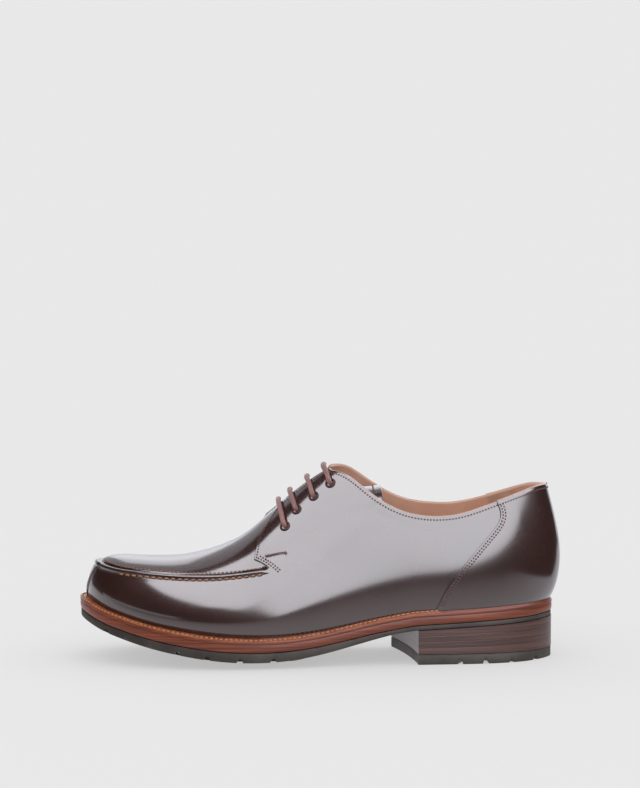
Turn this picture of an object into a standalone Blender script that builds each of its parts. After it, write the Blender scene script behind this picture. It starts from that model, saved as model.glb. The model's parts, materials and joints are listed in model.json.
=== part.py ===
"""Left shoe of a norwegian derby: split toe, raised apron seam, open lacing, stacked heel.

Sizes are in millimetres until the meshes are made, and +Z is up. The toe points to -X and the
lateral side of the foot to -Y. The shoe stands on its sole at z = 0.

Everything is worked out from one form, the last. A point of the last is given by two numbers:
the turn, which is a length along the feather edge from the toe tip, down the lateral side and
back up the medial side, and the rise, which is 0 at the feather edge and 1 on the ridge.
"""

from collections import namedtuple

import bmesh
import bpy
import numpy as np
from mathutils import Matrix, Vector

MM = 0.001
GAP = 0.3  # clearance between pieces that meet
LATERAL, MEDIAL = 0, 1

# The last: one row for each section, from the toe tip to the back of the heel.
# x, lateral, medial: feather edge in plan. ridge_x: where the section meets the ridge.
# fullness: exponent of its superellipse, 2 is an ellipse. bulge: swell of its side.
# welt: how far the welt stands out of the feather edge.
SWELL_TOP, SWELL_SKEW, SWELL_POWER = 0.66, 0.7, 1.2  # the bulge ends at this share of the height
Section = namedtuple("Section", "x lateral medial ridge_x fullness bulge welt")
SECTIONS = [
    Section(-144.9, 5.0, 5.0, -118.0, 3.4, 0.3, 6.6),
    Section(-140.8, -9.8, 19.8, -116.5, 3.2, 0.5, 6.4),
    Section(-130.8, -23.5, 31.5, -111.0, 2.9, 1.2, 5.9),
    Section(-113.8, -34.5, 40.0, -102.0, 2.5, 2.2, 5.6),
    Section(-88.0, -42.2, 45.6, -85.0, 2.2, 3.0, 5.8),
    Section(-60.0, -45.2, 46.2, -60.0, 2.1, 3.4, 5.8),
    Section(-32.0, -43.6, 40.6, -32.0, 2.05, 3.4, 5.6),
    Section(0.0, -38.5, 32.2, 0.0, 2.2, 3.2, 5.0),
    Section(34.0, -34.4, 28.0, 32.0, 2.7, 3.0, 4.2),
    Section(68.0, -32.4, 28.8, 60.0, 3.3, 3.2, 3.6),
    Section(99.5, -30.6, 30.0, 80.0, 3.5, 3.6, 3.2),
    Section(123.0, -24.4, 24.6, 94.0, 3.5, 4.4, 3.1),
    Section(138.4, -12.2, 12.8, 103.0, 3.4, 5.4, 3.1),
    Section(144.2, 0.5, 0.5, 106.0, 3.4, 5.8, 3.1),
]

# Ridge of the last from the toe box up the instep. Past the collar it is only construction.
Ridge = namedtuple("Ridge", "x y z")
RIDGE = [
    Ridge(-118.0, 5.0, 64.2),
    Ridge(-100.0, 5.0, 63.2),
    Ridge(-84.0, 4.5, 64.3),
    Ridge(-70.0, 4.0, 67.6),
    Ridge(-57.0, 3.5, 72.3),
    Ridge(-45.0, 3.0, 79.0),
    Ridge(-36.0, 2.5, 86.6),
    Ridge(-24.0, 2.0, 97.0),
    Ridge(-12.0, 1.5, 107.6),
    Ridge(0.0, 1.0, 117.0),
    Ridge(14.0, 0.5, 126.0),
    Ridge(40.0, 0.0, 137.0),
    Ridge(75.0, 0.0, 143.0),
    Ridge(106.0, 0.5, 146.0),
]

# Height of the feather edge: toe spring, ball, arch and heel seat.
Level = namedtuple("Level", "x z")
FEATHER = [
    Level(-153.0, 41.4),
    Level(-146.8, 39.0),
    Level(-135.0, 34.7),
    Level(-120.0, 30.5),
    Level(-106.0, 27.0),
    Level(-90.0, 23.9),
    Level(-70.0, 21.0),
    Level(-45.0, 19.2),
    Level(-20.0, 19.7),
    Level(0.0, 22.2),
    Level(20.0, 26.2),
    Level(40.0, 30.3),
    Level(58.0, 33.2),
]
SEAT_START, SEAT_Z, SEAT_SLOPE = 58.0, 33.2, 0.053  # straight heel seat behind the arch

# Seams and edges on the last, as section x and height.
APRON_SEAM = [
    Level(-146.8, 60.0),
    Level(-142.3, 58.8),
    Level(-131.4, 56.8),
    Level(-113.8, 55.2),
    Level(-88.0, 53.8),
    Level(-60.0, 54.6),
    Level(-28.0, 59.4),
]
SLIT_X = -28.0  # foot of the quarter's tab, where the apron seam ends
TAB_CORNER = Level(-41.0, 65.6)
TAB_EDGE = Level(-37.5, 78.0)
THROAT_X, THROAT_HALF_GAP = -25.0, 7.5  # where the two facings part
FACING_TOP_X, FACING_TOP_HALF_GAP = 6.0, 11.0
VAMP_END_X = -21.0
TOPLINE = [
    Level(6.0, 117.6),
    Level(12.0, 116.9),
    Level(18.0, 114.4),
    Level(28.0, 107.0),
    Level(42.0, 97.6),
    Level(58.0, 92.0),
    Level(72.0, 90.8),
    Level(86.0, 92.2),
    Level(98.0, 95.6),
    Level(112.0, 100.2),
    Level(128.0, 105.0),
    Level(138.4, 107.4),
    Level(144.2, 107.6),
]
MEDIAL_COLLAR_RISE = 4.6  # the collar is a little higher on the inner side of the foot
MEDIAL_RISE_START, MEDIAL_RISE_FULL = 115.0, 55.0  # section x where that begins and is complete
SeamPoint = namedtuple("SeamPoint", "share x")
COUNTER_SEAM = [  # share of the way up from the feather edge to the topline, and section x
    SeamPoint(0.0, 73.0),
    SeamPoint(0.22, 79.5),
    SeamPoint(0.45, 91.0),
    SeamPoint(0.7, 105.0),
    SeamPoint(0.86, 112.5),
    SeamPoint(1.0, 111.5),
]

# Wall of the upper, measured from the last.
LINING = -0.8
APRON_LEVEL = 0.5
PANEL_LEVEL = 1.6
COUNTER_LEVEL = 2.5
SEAM_BEAD = 2.6
SEAM_GROOVE = 0.1
SEAM_BAND = 3.6  # height of the raised apron seam
STEP = 0.3  # half the run of a step in the wall
FEATHER_BLEND = 0.12  # rise over which a wall level takes full effect above the feather edge

# Rows and columns of the upper's faces.
WALL_ROWS, SEAM_ROWS, TAB_ROWS, EDGE_ROWS, VAMP_ROWS = 5, 3, 2, 4, 1
VAMP_COLUMNS, FACING_COLUMNS, COLLAR_COLUMNS, COUNTER_COLUMNS = 15, 5, 8, 8

# Sole, from the upper down.
WELT_THICKNESS, WELT_SLOPE, WELT_INSIDE = 3.4, 1.5, 2.2
WELT_CREST = 2.0  # from here outwards its top slopes down
WELT_STATIONS = 72
MIDSOLE_THICKNESS, MIDSOLE_INSET = 4.8, 0.3
OUTSOLE_INSET = 0.6
OUTSOLE_EDGE = [  # thickness of its rim; the last row's goes on over the heel
    Level(-152.0, 4.6),
    Level(-100.0, 5.4),
    Level(-45.0, 6.0),
    Level(0.0, 5.0),
    Level(45.0, 2.8),
]
OUTSOLE_CAMBER = 5.2  # the tread's middle lies lower than its rim
CAMBER_FADE = 60.0  # length over which that fades out towards the heel
PLATE_STATIONS = 40
PLATE_SHARES = (0.0, 0.28, 0.5, 0.72, 1.0)

# Heel: four leather lifts under the outsole, then the rubber top piece on the floor.
BREAST_LATERAL_X, BREAST_MEDIAL_X = 59.5, 47.5
LIFTS, TOP_PIECE_THICKNESS, HEEL_INSET, TOP_PIECE_INSET = 4, 6.3, 0.3, 0.6
HEEL_STATIONS = 27

# Tread grooves that show on the side of the sole, as cuts into its lower edge.
FOREPART_GROOVES = (-133.0, -120.5, -106.0, -88.5, -70.5, -50.5, -30.0)
HEEL_GROOVES = (85.7, 101.8, 118.7, 134.6)
GROOVE_WIDTH, GROOVE_DEPTH, GROOVE_LENGTH, GROOVE_OVERRUN = 2.8, 2.2, 11.0, 1.5

INSOLE_RISE, INSOLE_INSIDE = 1.6, 2.9  # above and inside the feather edge

# Tongue: middle line behind the facings, and its half width.
TONGUE_START_X, TONGUE_CLEARANCE = -34.0, 4.8
TONGUE_HALF_WIDTH, TONGUE_THICKNESS = 21.0, 1.7
TONGUE_LINE = [
    Level(0.0, 112.2),
    Level(7.0, 113.6),
    Level(16.0, 110.8),
    Level(28.0, 107.6),
    Level(38.5, 108.6),
]
TONGUE_STATIONS, TONGUE_SHARES = 13, 9
TOP_RISES = np.linspace(0.2, 1, 80)  # rises that sample the upper part of a cross-section

# Lace holes on each facing, from the throat up: section x and height.
EYELETS = [Level(-22.0, 84.4), Level(-14.7, 94.2), Level(-4.1, 102.6), Level(6.4, 110.6)]
EYELET_BORE, EYELET_BARREL, EYELET_FLANGE, EYELET_LIP = 2.0, 2.4, 3.4, 0.6
EYELET_BEVEL = 0.5
EYELET_SIDES = 12
LACE_HOLE, LACE_HOLE_REACH = 2.8, 5.0  # radius, and how far the cut goes each way
LACE_RADIUS = 1.5
LACE_START, LACE_CROWN = 0.45, 1.2  # share of the way up from the hole; rise over the throat
LACE_KNOTS, LACE_POINTS = 4, 12  # of the middle line: on each half, and of the swept bar
LACE_LIFT = 0.8  # height of the lace's underside over the facing

# The last's own axes put the box of the finished shoe a little off centre.
CENTRE_X, CENTRE_Y = 0.45, 0.73


class Spline:
    """Cubic spline through a table: natural at its ends, or closed on itself over a period."""

    def __init__(self, knots, values, period=None):
        x = np.asarray(knots, float)
        y = np.asarray(values, float)
        if period:
            x = np.append(x, x[0] + period)
            y = np.append(y, y[0])
        n = len(x)
        h = np.diff(x)
        slope = np.diff(y) / h
        a = np.zeros((n, n))
        b = np.zeros(n)
        for i in range(1, n - 1):
            a[i, i - 1 : i + 2] = h[i - 1], 2 * (h[i - 1] + h[i]), h[i]
            b[i] = 6 * (slope[i] - slope[i - 1])
        if period:
            a[0, 0], a[0, -1] = 1, -1
            a[-1, [0, 1, -2, -1]] = 2 * h[0], h[0], h[-1], 2 * h[-1]
            b[-1] = 6 * (slope[0] - slope[-1])
        else:
            a[0, 0] = a[-1, -1] = 1
        self.x, self.y, self.h, self.period = x, y, h, period
        self.bend = np.linalg.solve(a, b)

    def __call__(self, at):
        at = np.asarray(at, float)
        if self.period:
            at = self.x[0] + np.mod(at - self.x[0], self.period)
        i = np.clip(np.searchsorted(self.x, at, side="right") - 1, 0, len(self.h) - 1)
        h = self.h[i]
        left = np.clip((self.x[i + 1] - at) / h, 0, 1)
        right = 1 - left
        curve = ((left**3 - left) * self.bend[i] + (right**3 - right) * self.bend[i + 1]) * h * h / 6
        return left * self.y[i] + right * self.y[i + 1] + curve


def column(rows, name):
    return [getattr(row, name) for row in rows]


def spline_of(rows, across="x", up="z"):
    return Spline(column(rows, across), column(rows, up))


# The loop of sections: down the lateral side to the heel and back along the medial side.
LAST_ROW = len(SECTIONS) - 1
LOOP = [(row, row.lateral) for row in SECTIONS] + [(row, row.medial) for row in SECTIONS[-2:0:-1]]
LOOP_XY = np.array([(row.x, y) for row, y in LOOP])
LOOP_STEPS = np.linalg.norm(np.roll(LOOP_XY, -1, axis=0) - LOOP_XY, axis=1)
LOOP_KNOTS = np.concatenate([[0.0], np.cumsum(LOOP_STEPS)[:-1]])
LOOP_LENGTH = LOOP_STEPS.sum()
HEEL_KNOT = LOOP_KNOTS[LAST_ROW]

outline_x = Spline(LOOP_KNOTS, LOOP_XY[:, 0], LOOP_LENGTH)
outline_y = Spline(LOOP_KNOTS, LOOP_XY[:, 1], LOOP_LENGTH)
ridge_x_of, fullness_of, bulge_of, welt_of = (
    Spline(LOOP_KNOTS, [getattr(row, name) for row, _ in LOOP], LOOP_LENGTH)
    for name in ("ridge_x", "fullness", "bulge", "welt")
)
ridge_y, ridge_z = spline_of(RIDGE, up="y"), spline_of(RIDGE)
arch_z = spline_of(FEATHER)
seam_z, topline_z = spline_of(APRON_SEAM), spline_of(TOPLINE)
outsole_edge, tongue_line = spline_of(OUTSOLE_EDGE), spline_of(TONGUE_LINE)


def feather_z(x):
    """Height of the feather edge: a curve up to the arch, then the straight heel seat."""
    x = np.asarray(x, float)
    seat = SEAT_Z + SEAT_SLOPE * (x - SEAT_START)
    return np.where(x > SEAT_START, seat, arch_z(np.minimum(x, SEAT_START)))


DENSE_SHARES = np.linspace(0, 1, 1500)
BRANCHES = (DENSE_SHARES * HEEL_KNOT, LOOP_LENGTH - DENSE_SHARES * (LOOP_LENGTH - HEEL_KNOT))
STATION_X = outline_x(BRANCHES[LATERAL])
MEDIAL_RIDGE_X = ridge_x_of(BRANCHES[MEDIAL])


def station_at(x):
    """Station of the section whose lateral foot is at x: its turn on the lateral side."""
    return np.interp(x, STATION_X, BRANCHES[LATERAL])


def side_turn(station, side):
    """Turn of a station on either side. The two sides of a section meet on the ridge."""
    if side == LATERAL:
        return np.asarray(station, float)
    return np.interp(ridge_x_of(station), MEDIAL_RIDGE_X, BRANCHES[MEDIAL])


def turn_at(x, side):
    return side_turn(station_at(x), side)


def outward(turn):
    """Level direction that points out of the feather edge."""
    small = 0.05
    dx = outline_x(turn + small) - outline_x(turn - small)
    dy = outline_y(turn + small) - outline_y(turn - small)
    length = np.hypot(dx, dy)
    return np.stack([dy / length, -dx / length], -1)


def swell(height_share):
    """Shape of a section's bulge over its height: none at the feather edge or past two thirds."""
    share = np.clip(np.asarray(height_share) / SWELL_TOP, 0, 1)
    return np.sin(np.pi * share**SWELL_SKEW) ** SWELL_POWER


def last(turn, rise):
    """Points of the last. A section is a quarter of a superellipse from feather edge to ridge."""
    turn, rise = np.broadcast_arrays(np.asarray(turn, float), np.asarray(rise, float))
    foot_x, foot_y = outline_x(turn), outline_y(turn)
    top_x = ridge_x_of(turn)
    foot_z, top_z = feather_z(foot_x), ridge_z(top_x)
    n = fullness_of(turn)
    angle = np.clip(rise, 0, 1) * np.pi / 2
    size = (np.abs(np.cos(angle)) ** n + np.abs(np.sin(angle)) ** n) ** (-1 / n)
    inward, up = 1 - np.cos(angle) * size, np.sin(angle) * size
    push = outward(turn) * (bulge_of(turn) * swell(up))[..., None]
    x = foot_x + (top_x - foot_x) * inward + push[..., 0]
    y = foot_y + (ridge_y(top_x) - foot_y) * inward + push[..., 1]
    return np.stack([x, y, foot_z + (top_z - foot_z) * up], -1)


def rise_at_height(turn, z):
    """Rise of the point of a section that lies at height z."""
    low, high, n = feather_z(outline_x(turn)), ridge_z(ridge_x_of(turn)), fullness_of(turn)
    up = np.clip((np.asarray(z) - low) / (high - low), 0, 0.9999)
    return np.arctan(up / (1 - up**n) ** (1 / n)) * 2 / np.pi


def rise_at_gap(turn, half_gap):
    """Rise of the point of a section that lies half_gap away from the ridge in plan."""
    top_x = ridge_x_of(turn)
    reach = np.hypot(outline_x(turn) - top_x, outline_y(turn) - ridge_y(top_x))
    share, n = half_gap / reach, fullness_of(turn)
    return np.arctan((share ** (-n) - 1) ** (1 / n)) * 2 / np.pi


def level_share(rise):
    """0 at the feather edge, 1 from a little above it."""
    return np.clip(np.asarray(rise) / FEATHER_BLEND, 0, 1)


def last_normal(turn, rise):
    """Directions that point out of the last. They are turned level at the feather edge."""
    small_turn, small_rise = 0.4, 0.004
    along = last(turn + small_turn, rise) - last(turn - small_turn, rise)
    up = last(turn, np.minimum(rise + small_rise, 1)) - last(turn, np.maximum(rise - small_rise, 0))
    normal = np.cross(along, up)
    normal[..., 2] *= level_share(rise)
    return normal / np.linalg.norm(normal, axis=-1, keepdims=True)


def off_last(turn, rise, distance):
    """Points at a distance from the last. At the feather edge they keep to the welt's height."""
    turn, rise = np.broadcast_arrays(np.asarray(turn, float), np.asarray(rise, float))
    base = last(turn, rise)
    points = base + last_normal(turn, rise) * np.asarray(distance)[..., None]
    points[..., 2] += (feather_z(points[..., 0]) - feather_z(base[..., 0])) * (1 - level_share(rise))
    return points


def make_object(name, points, faces, material, smooth_angle=35):
    """A mesh object from points in millimetres and lists of corners."""
    mesh = bpy.data.meshes.new(name)
    moved = (np.asarray(points) - (CENTRE_X, CENTRE_Y, 0)) * MM
    mesh.from_pydata(moved.tolist(), [], [list(map(int, face)) for face in faces])
    mesh.validate()
    mesh.materials.append(material)
    mesh.shade_smooth()
    mesh.set_sharp_from_angle(angle=np.radians(smooth_angle))
    obj = bpy.data.objects.new(name, mesh)
    bpy.context.scene.collection.objects.link(obj)
    return obj


def make_material(name, colour, roughness, metallic=0.0):
    material = bpy.data.materials.new(name)
    material.use_nodes = True
    shader = material.node_tree.nodes["Principled BSDF"]
    shader.inputs["Base Color"].default_value = (*colour, 1.0)
    shader.inputs["Roughness"].default_value = roughness
    shader.inputs["Metallic"].default_value = metallic
    return material


def grid_faces(shape, closed=False):
    """Corners of the quads of a grid of points, numbered row by row. A closed row is a ring."""
    rows, columns = shape
    faces = []
    for r in range(rows - 1):
        for c in range(columns if closed else columns - 1):
            low, high, beside = r * columns, (r + 1) * columns, (c + 1) % columns
            faces.append((low + c, low + beside, high + beside, high + c))
    return faces


def rim_faces(faces, offset):
    """Faces that join the open edges of a surface to those of its copy, offset points on."""
    edges = {(a, b): None for face in faces for a, b in zip(face, (*face[1:], face[0]))}
    return [(b, a, a + offset, b + offset) for a, b in edges if (b, a) not in edges]


def shell_solid(name, patches, inner_level, material):
    """A closed wall from patches of the last: each holds turns, rises and outer levels.

    Points of neighbouring patches that share a place on the last become one point.
    """
    number_of, base, outer_sum, inner_sum, counts, quads = {}, [], [], [], [], []
    for turns, rises, levels, flip in patches:
        on_last = last(turns, rises)
        outer = off_last(turns, rises, levels)
        inner = off_last(turns, rises, np.full(turns.shape, inner_level))
        ids = np.empty(turns.shape, int)
        for place in np.ndindex(turns.shape):
            key = tuple(np.round(on_last[place], 2) + 0.0)
            number = number_of.setdefault(key, len(base))
            if number == len(base):
                base.append(key)
                outer_sum.append(np.zeros(3))
                inner_sum.append(np.zeros(3))
                counts.append(0)
            outer_sum[number] = outer_sum[number] + outer[place]
            inner_sum[number] = inner_sum[number] + inner[place]
            counts[number] += 1
            ids[place] = number
        flat = ids.ravel()
        for quad in grid_faces(turns.shape):
            corners = list(dict.fromkeys(flat[i] for i in quad))
            if len(corners) > 2:
                quads.append(corners[::-1] if flip else corners)
    count = np.array(counts)[:, None]
    points = np.concatenate([np.array(outer_sum) / count, np.array(inner_sum) / count])
    total = len(base)
    inside = [[i + total for i in q[::-1]] for q in quads]
    return make_object(name, points, quads + inside + rim_faces(quads, total), material)


# Upper

ROW_SEAM = WALL_ROWS
ROW_SLIT = ROW_SEAM + SEAM_ROWS
ROW_TAB = ROW_SLIT + TAB_ROWS
ROW_FACING = ROW_TAB + EDGE_ROWS
ROW_RIDGE = ROW_FACING + VAMP_ROWS


def seam_rises(turn):
    """Rises of the rows of the raised seam at these sections, from its lower to its upper edge."""
    middle = seam_z(outline_x(turn))
    offsets = np.linspace(-0.5, 0.5, SEAM_ROWS + 1) * SEAM_BAND
    return [rise_at_height(turn, middle + offset) for offset in offsets]


def tab_edge_points(side):
    """Front edge of the quarter, row by row: up to the slit, out to the tab, up to the ridge."""
    slit = station_at(SLIT_X)
    rises = seam_rises(side_turn(slit, side))
    rows = [(slit, rises[0] * r / WALL_ROWS) for r in range(WALL_ROWS)]
    rows += [(slit, rise) for rise in rises]
    tab, edge = [
        (station_at(level.x), rise_at_height(turn_at(level.x, side), level.z))
        for level in (TAB_CORNER, TAB_EDGE)
    ]
    facing = (station_at(THROAT_X), rise_at_gap(turn_at(THROAT_X, side), THROAT_HALF_GAP))
    ridge = (station_at(VAMP_END_X), 1.0)
    half = EDGE_ROWS // 2
    for start, end, steps in (
        (rows[-1], tab, TAB_ROWS),
        (tab, edge, half),
        (edge, facing, EDGE_ROWS - half),
        (facing, ridge, VAMP_ROWS),
    ):
        for i in range(1, steps + 1):
            rows.append(tuple(np.add(start, np.subtract(end, start) * i / steps)))
    return np.array(rows)


def collar_rise(stations, side):
    """Rise of the topline, a little higher on the medial side towards the front."""
    x = outline_x(stations)
    share = np.clip((MEDIAL_RISE_START - x) / (MEDIAL_RISE_START - MEDIAL_RISE_FULL), 0, 1)
    lift = MEDIAL_COLLAR_RISE * share
    return rise_at_height(side_turn(stations, side), topline_z(x) + (lift if side == MEDIAL else 0))


def counter_edge_points(side):
    """Front edge of the counter from the feather edge to the topline, for the rows of the quarter."""
    shares = np.linspace(0, 1, ROW_FACING + 1)
    place = Spline(*zip(*COUNTER_SEAM))
    stations = station_at(place(shares))
    turns = side_turn(stations, side)
    low = feather_z(outline_x(turns))
    top = last(turns[-1], collar_rise(stations[-1], side))[2]
    return np.stack([stations, rise_at_height(turns, low + (top - low) * shares)], -1)


def quarter_top_points(side, counter_station):
    """Top edge of the quarter: up the throat, round the facing's corner and along the collar."""
    shares = np.linspace(0, 1, FACING_COLUMNS + 1)
    gaps = THROAT_HALF_GAP + (FACING_TOP_HALF_GAP - THROAT_HALF_GAP) * shares
    stations = station_at(THROAT_X + (FACING_TOP_X - THROAT_X) * shares)
    throat = np.stack([stations, rise_at_gap(side_turn(stations, side), gaps)], -1)
    shares = np.linspace(0, 1, COLLAR_COLUMNS + 1)[1:]
    stations = stations[-1] + (counter_station - stations[-1]) * shares
    return np.concatenate([throat, np.stack([stations, collar_rise(stations, side)], -1)])


def coons(left, right, bottom, top):
    """Grid of (station, rise) inside four edges: rows run from bottom to top, columns to the right."""
    f = np.linspace(0, 1, len(bottom))[None, :, None]
    g = np.linspace(0, 1, len(left))[:, None, None]
    ruled = (1 - f) * left[:, None] + f * right[:, None] + (1 - g) * bottom[None] + g * top[None]
    corners = (1 - f) * ((1 - g) * bottom[0] + g * top[0]) + f * ((1 - g) * bottom[-1] + g * top[-1])
    return ruled - corners


def vamp_patch(side):
    """Apron and side wall in front of the quarter's tab, with the raised seam between them."""
    edge = tab_edge_points(side)
    shares = np.linspace(0, 1, VAMP_COLUMNS + 1)
    stations = edge[:, :1] * shares
    rises = np.empty_like(stations)
    near_edge = shares**4
    for r in range(ROW_RIDGE + 1):
        seam = seam_rises(side_turn(stations[r], side))
        if r <= ROW_SEAM:
            own = seam[0] * r / ROW_SEAM
        elif r <= ROW_SLIT:
            own = seam[r - ROW_SEAM]
        else:
            share = (r - ROW_SLIT) / (ROW_RIDGE - ROW_SLIT)
            own = seam[-1] + (1 - seam[-1]) * share
        rises[r] = own + (edge[r, 1] - own) * near_edge
    levels = np.full(stations.shape, PANEL_LEVEL)
    levels[ROW_SEAM + 1] = SEAM_BEAD
    levels[ROW_SEAM + 2] = SEAM_GROOVE
    levels[ROW_SLIT:] = APRON_LEVEL
    levels[ROW_SEAM : ROW_SLIT + 1, -1] = PANEL_LEVEL
    stations[ROW_SLIT + 1 : ROW_FACING + 1, -1] -= STEP
    return stations, rises, levels


def quarter_patch(side):
    """Quarter with its facing, from the tab's edge to the counter."""
    left = tab_edge_points(side)[: ROW_FACING + 1]
    right = counter_edge_points(side)
    top = quarter_top_points(side, right[-1, 0])
    shares = np.linspace(0, 1, len(top))[:, None]
    bottom = left[0] + (right[0] - left[0]) * shares
    grid = coons(left, right, bottom, top)
    grid[:, -1, 0] -= STEP
    return grid[..., 0], grid[..., 1], np.full(grid.shape[:2], PANEL_LEVEL)


def counter_patch(side):
    """Counter from its front edge to the back of the heel."""
    left = counter_edge_points(side)
    shares = np.linspace(0, 1, COUNTER_COLUMNS + 1)
    top_stations = left[-1, 0] + (HEEL_KNOT - left[-1, 0]) * shares
    top = np.stack([top_stations, collar_rise(top_stations, side)], -1)
    bottom = np.stack([left[0, 0] + (HEEL_KNOT - left[0, 0]) * shares, np.zeros(len(shares))], -1)
    heel_top = last(HEEL_KNOT, top[-1, 1])[2]
    heights = np.linspace(feather_z(outline_x(HEEL_KNOT)), heel_top, ROW_FACING + 1)
    right = np.stack([np.full(len(heights), HEEL_KNOT), rise_at_height(HEEL_KNOT, heights)], -1)
    grid = coons(left, right, bottom, top)
    grid[:, 0, 0] += STEP
    return grid[..., 0], grid[..., 1], np.full(grid.shape[:2], COUNTER_LEVEL)


def bridge_patch(first, second, rows):
    """Two columns that close the step between neighbouring patches."""
    return [np.stack([a[rows, -1], b[rows, 0]], -1) for a, b in zip(first, second)]


def build_upper(material):
    patches = []
    for side in (LATERAL, MEDIAL):
        vamp, quarter, counter = vamp_patch(side), quarter_patch(side), counter_patch(side)
        steps = bridge_patch(vamp, quarter, slice(ROW_SLIT, ROW_FACING + 1))
        back = bridge_patch(quarter, counter, slice(0, ROW_FACING + 1))
        for stations, rises, levels in (vamp, steps, quarter, back, counter):
            patches.append((side_turn(stations, side), rises, levels, side == MEDIAL))
    return shell_solid("upper", patches, LINING, material)


def lace_hole_frame(level, side):
    """Centre of a lace hole on the facing's outer face, and the direction out of it."""
    turn = turn_at(level.x, side)
    rise = rise_at_height(turn, level.z)
    out = last_normal(turn, rise)
    return last(turn, rise) + out * PANEL_LEVEL, out


def build_lace_hole_cutter(material):
    """One mesh of short rods, each through the facing at a lace hole. It only cuts."""
    points, faces = [], []
    angles = np.arange(EYELET_SIDES) * 2 * np.pi / EYELET_SIDES
    for side in (LATERAL, MEDIAL):
        for level in EYELETS:
            centre, out = lace_hole_frame(level, side)
            across, along = plane_axes(out)
            ring = LACE_HOLE * (np.cos(angles)[:, None] * across + np.sin(angles)[:, None] * along)
            start = len(points)
            points += list(centre - LACE_HOLE_REACH * out + ring)
            points += list(centre + LACE_HOLE_REACH * out + ring)
            low, high = list(range(start, start + EYELET_SIDES)), EYELET_SIDES
            faces.append(low[::-1])
            faces.append([i + high for i in low])
            for i, j in zip(low, low[1:] + low[:1]):
                faces.append((i, j, j + high, i + high))
    cutter = make_object("lace_hole_cutter", points, faces, material)
    cutter.hide_render = True
    cutter.display_type = "WIRE"
    return cutter


def plane_axes(out):
    """Two directions that make a right-handed frame with out."""
    across = np.cross((0.0, 1.0, 0.0) if abs(out[1]) < 0.9 else (1.0, 0.0, 0.0), out)
    across = across / np.linalg.norm(across)
    return across, np.cross(out, across)


def cut(target, cutter):
    modifier = target.modifiers.new("cut", "BOOLEAN")
    modifier.operation = "DIFFERENCE"
    modifier.object = cutter


# Sole and heel


def inside_welt(inset):
    """Offsets from the feather edge of an outline that lies a little inside the welt's."""
    return lambda turns: welt_of(turns) - inset


def loop_outline(offset_of, turns):
    """Plan of the feather edge moved outwards by offset_of(turn)."""
    return np.stack([outline_x(turns), outline_y(turns)], -1) + outward(turns) * offset_of(turns)[:, None]


def side_outlines(offset_of, stations):
    """x stations of an outline with its lateral and medial y, crowded towards toe and heel."""
    branches = [loop_outline(offset_of, BRANCHES[side]) for side in (LATERAL, MEDIAL)]
    low = max(branch[0, 0] for branch in branches)
    high = min(branch[-1, 0] for branch in branches)
    angles = np.linspace(0, np.pi, stations)
    x = (low + high) / 2 - (high - low) / 2 * np.cos(angles)
    return x, [np.interp(x, branch[:, 0], branch[:, 1]) for branch in branches]


def plate_solid(name, offset_of, top_of, bottom_of, material):
    """A plate with the sole's outline. Its faces are given as heights by x and share of the width."""
    x, (lateral, medial) = side_outlines(offset_of, PLATE_STATIONS)
    x, lateral, medial = x[1:-1], lateral[1:-1], medial[1:-1]
    shares = np.array(PLATE_SHARES)
    y = lateral[:, None] + (medial - lateral)[:, None] * shares
    across = np.broadcast_to(x[:, None], y.shape)
    top = np.stack([across, y, top_of(across, shares)], -1)
    bottom = np.stack([across, y, bottom_of(across, shares)], -1)
    total = top.shape[0] * top.shape[1]
    faces = grid_faces(y.shape)
    quads = [q[::-1] for q in faces] + [[i + total for i in q] for q in faces]
    rim = rim_faces(quads[: len(faces)], total)
    points = np.concatenate([top.reshape(-1, 3), bottom.reshape(-1, 3)])
    return make_object(name, points, quads + rim, material)


def midsole_top(x, _shares=None):
    return feather_z(x) - GAP - WELT_THICKNESS - GAP


def midsole_bottom(x, _shares=None):
    return midsole_top(x) - MIDSOLE_THICKNESS


def outsole_top(x, _shares=None):
    return midsole_bottom(x) - GAP


def outsole_bottom(x, shares):
    """Tread: its middle is lower than the rim, and flat on the floor under the ball."""
    start, end = OUTSOLE_EDGE[0].x, OUTSOLE_EDGE[-1].x
    edge = outsole_top(x) - outsole_edge(np.clip(x, start, end))
    fade = np.clip((end - x) / CAMBER_FADE, 0, 1)
    middle = (shares > 0) & (shares < 1)
    return np.where(x > end, edge, np.maximum(edge - OUTSOLE_CAMBER * middle * fade, 0))


def build_welt(material):
    """Strip of leather round the feather edge. Its top slopes down to the outside."""
    turns = np.linspace(0, LOOP_LENGTH, WELT_STATIONS, endpoint=False)
    zeros = np.zeros_like(turns)
    inner, outer = loop_outline(lambda t: zeros - WELT_INSIDE, turns), loop_outline(welt_of, turns)
    crest = loop_outline(lambda t: zeros + WELT_CREST, turns)
    rows = []
    for plan, drop in (
        (inner, WELT_THICKNESS),
        (outer, WELT_THICKNESS),
        (outer, WELT_SLOPE),
        (crest, 0),
        (inner, 0),
    ):
        rows.append(np.column_stack([plan, feather_z(plan[:, 0]) - GAP - drop]))
    rows.append(rows[0])
    count = len(turns)
    quads = grid_faces((len(rows), count), closed=True)
    faces = [[i % (count * (len(rows) - 1)) for i in quad] for quad in quads]
    return make_object("welt", np.concatenate(rows[:-1]), faces, material, smooth_angle=25)


def build_insole(material):
    def inside(turns):
        return np.full(len(turns), -INSOLE_INSIDE)

    def top(x, _shares):
        return feather_z(x) + INSOLE_RISE

    def bottom(x, _shares):
        return midsole_top(x) + GAP

    return plate_solid("insole", inside, top, bottom, material)


def heel_outline(inset):
    """Plan of the heel: from the breast's lateral corner round the back to its medial corner."""
    starts = [turn_at(BREAST_LATERAL_X, LATERAL), turn_at(BREAST_MEDIAL_X, MEDIAL)]
    shares = np.linspace(0, 1, HEEL_STATIONS)
    turns = starts[0] + (starts[1] - starts[0]) * shares
    return loop_outline(inside_welt(inset), turns)


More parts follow.
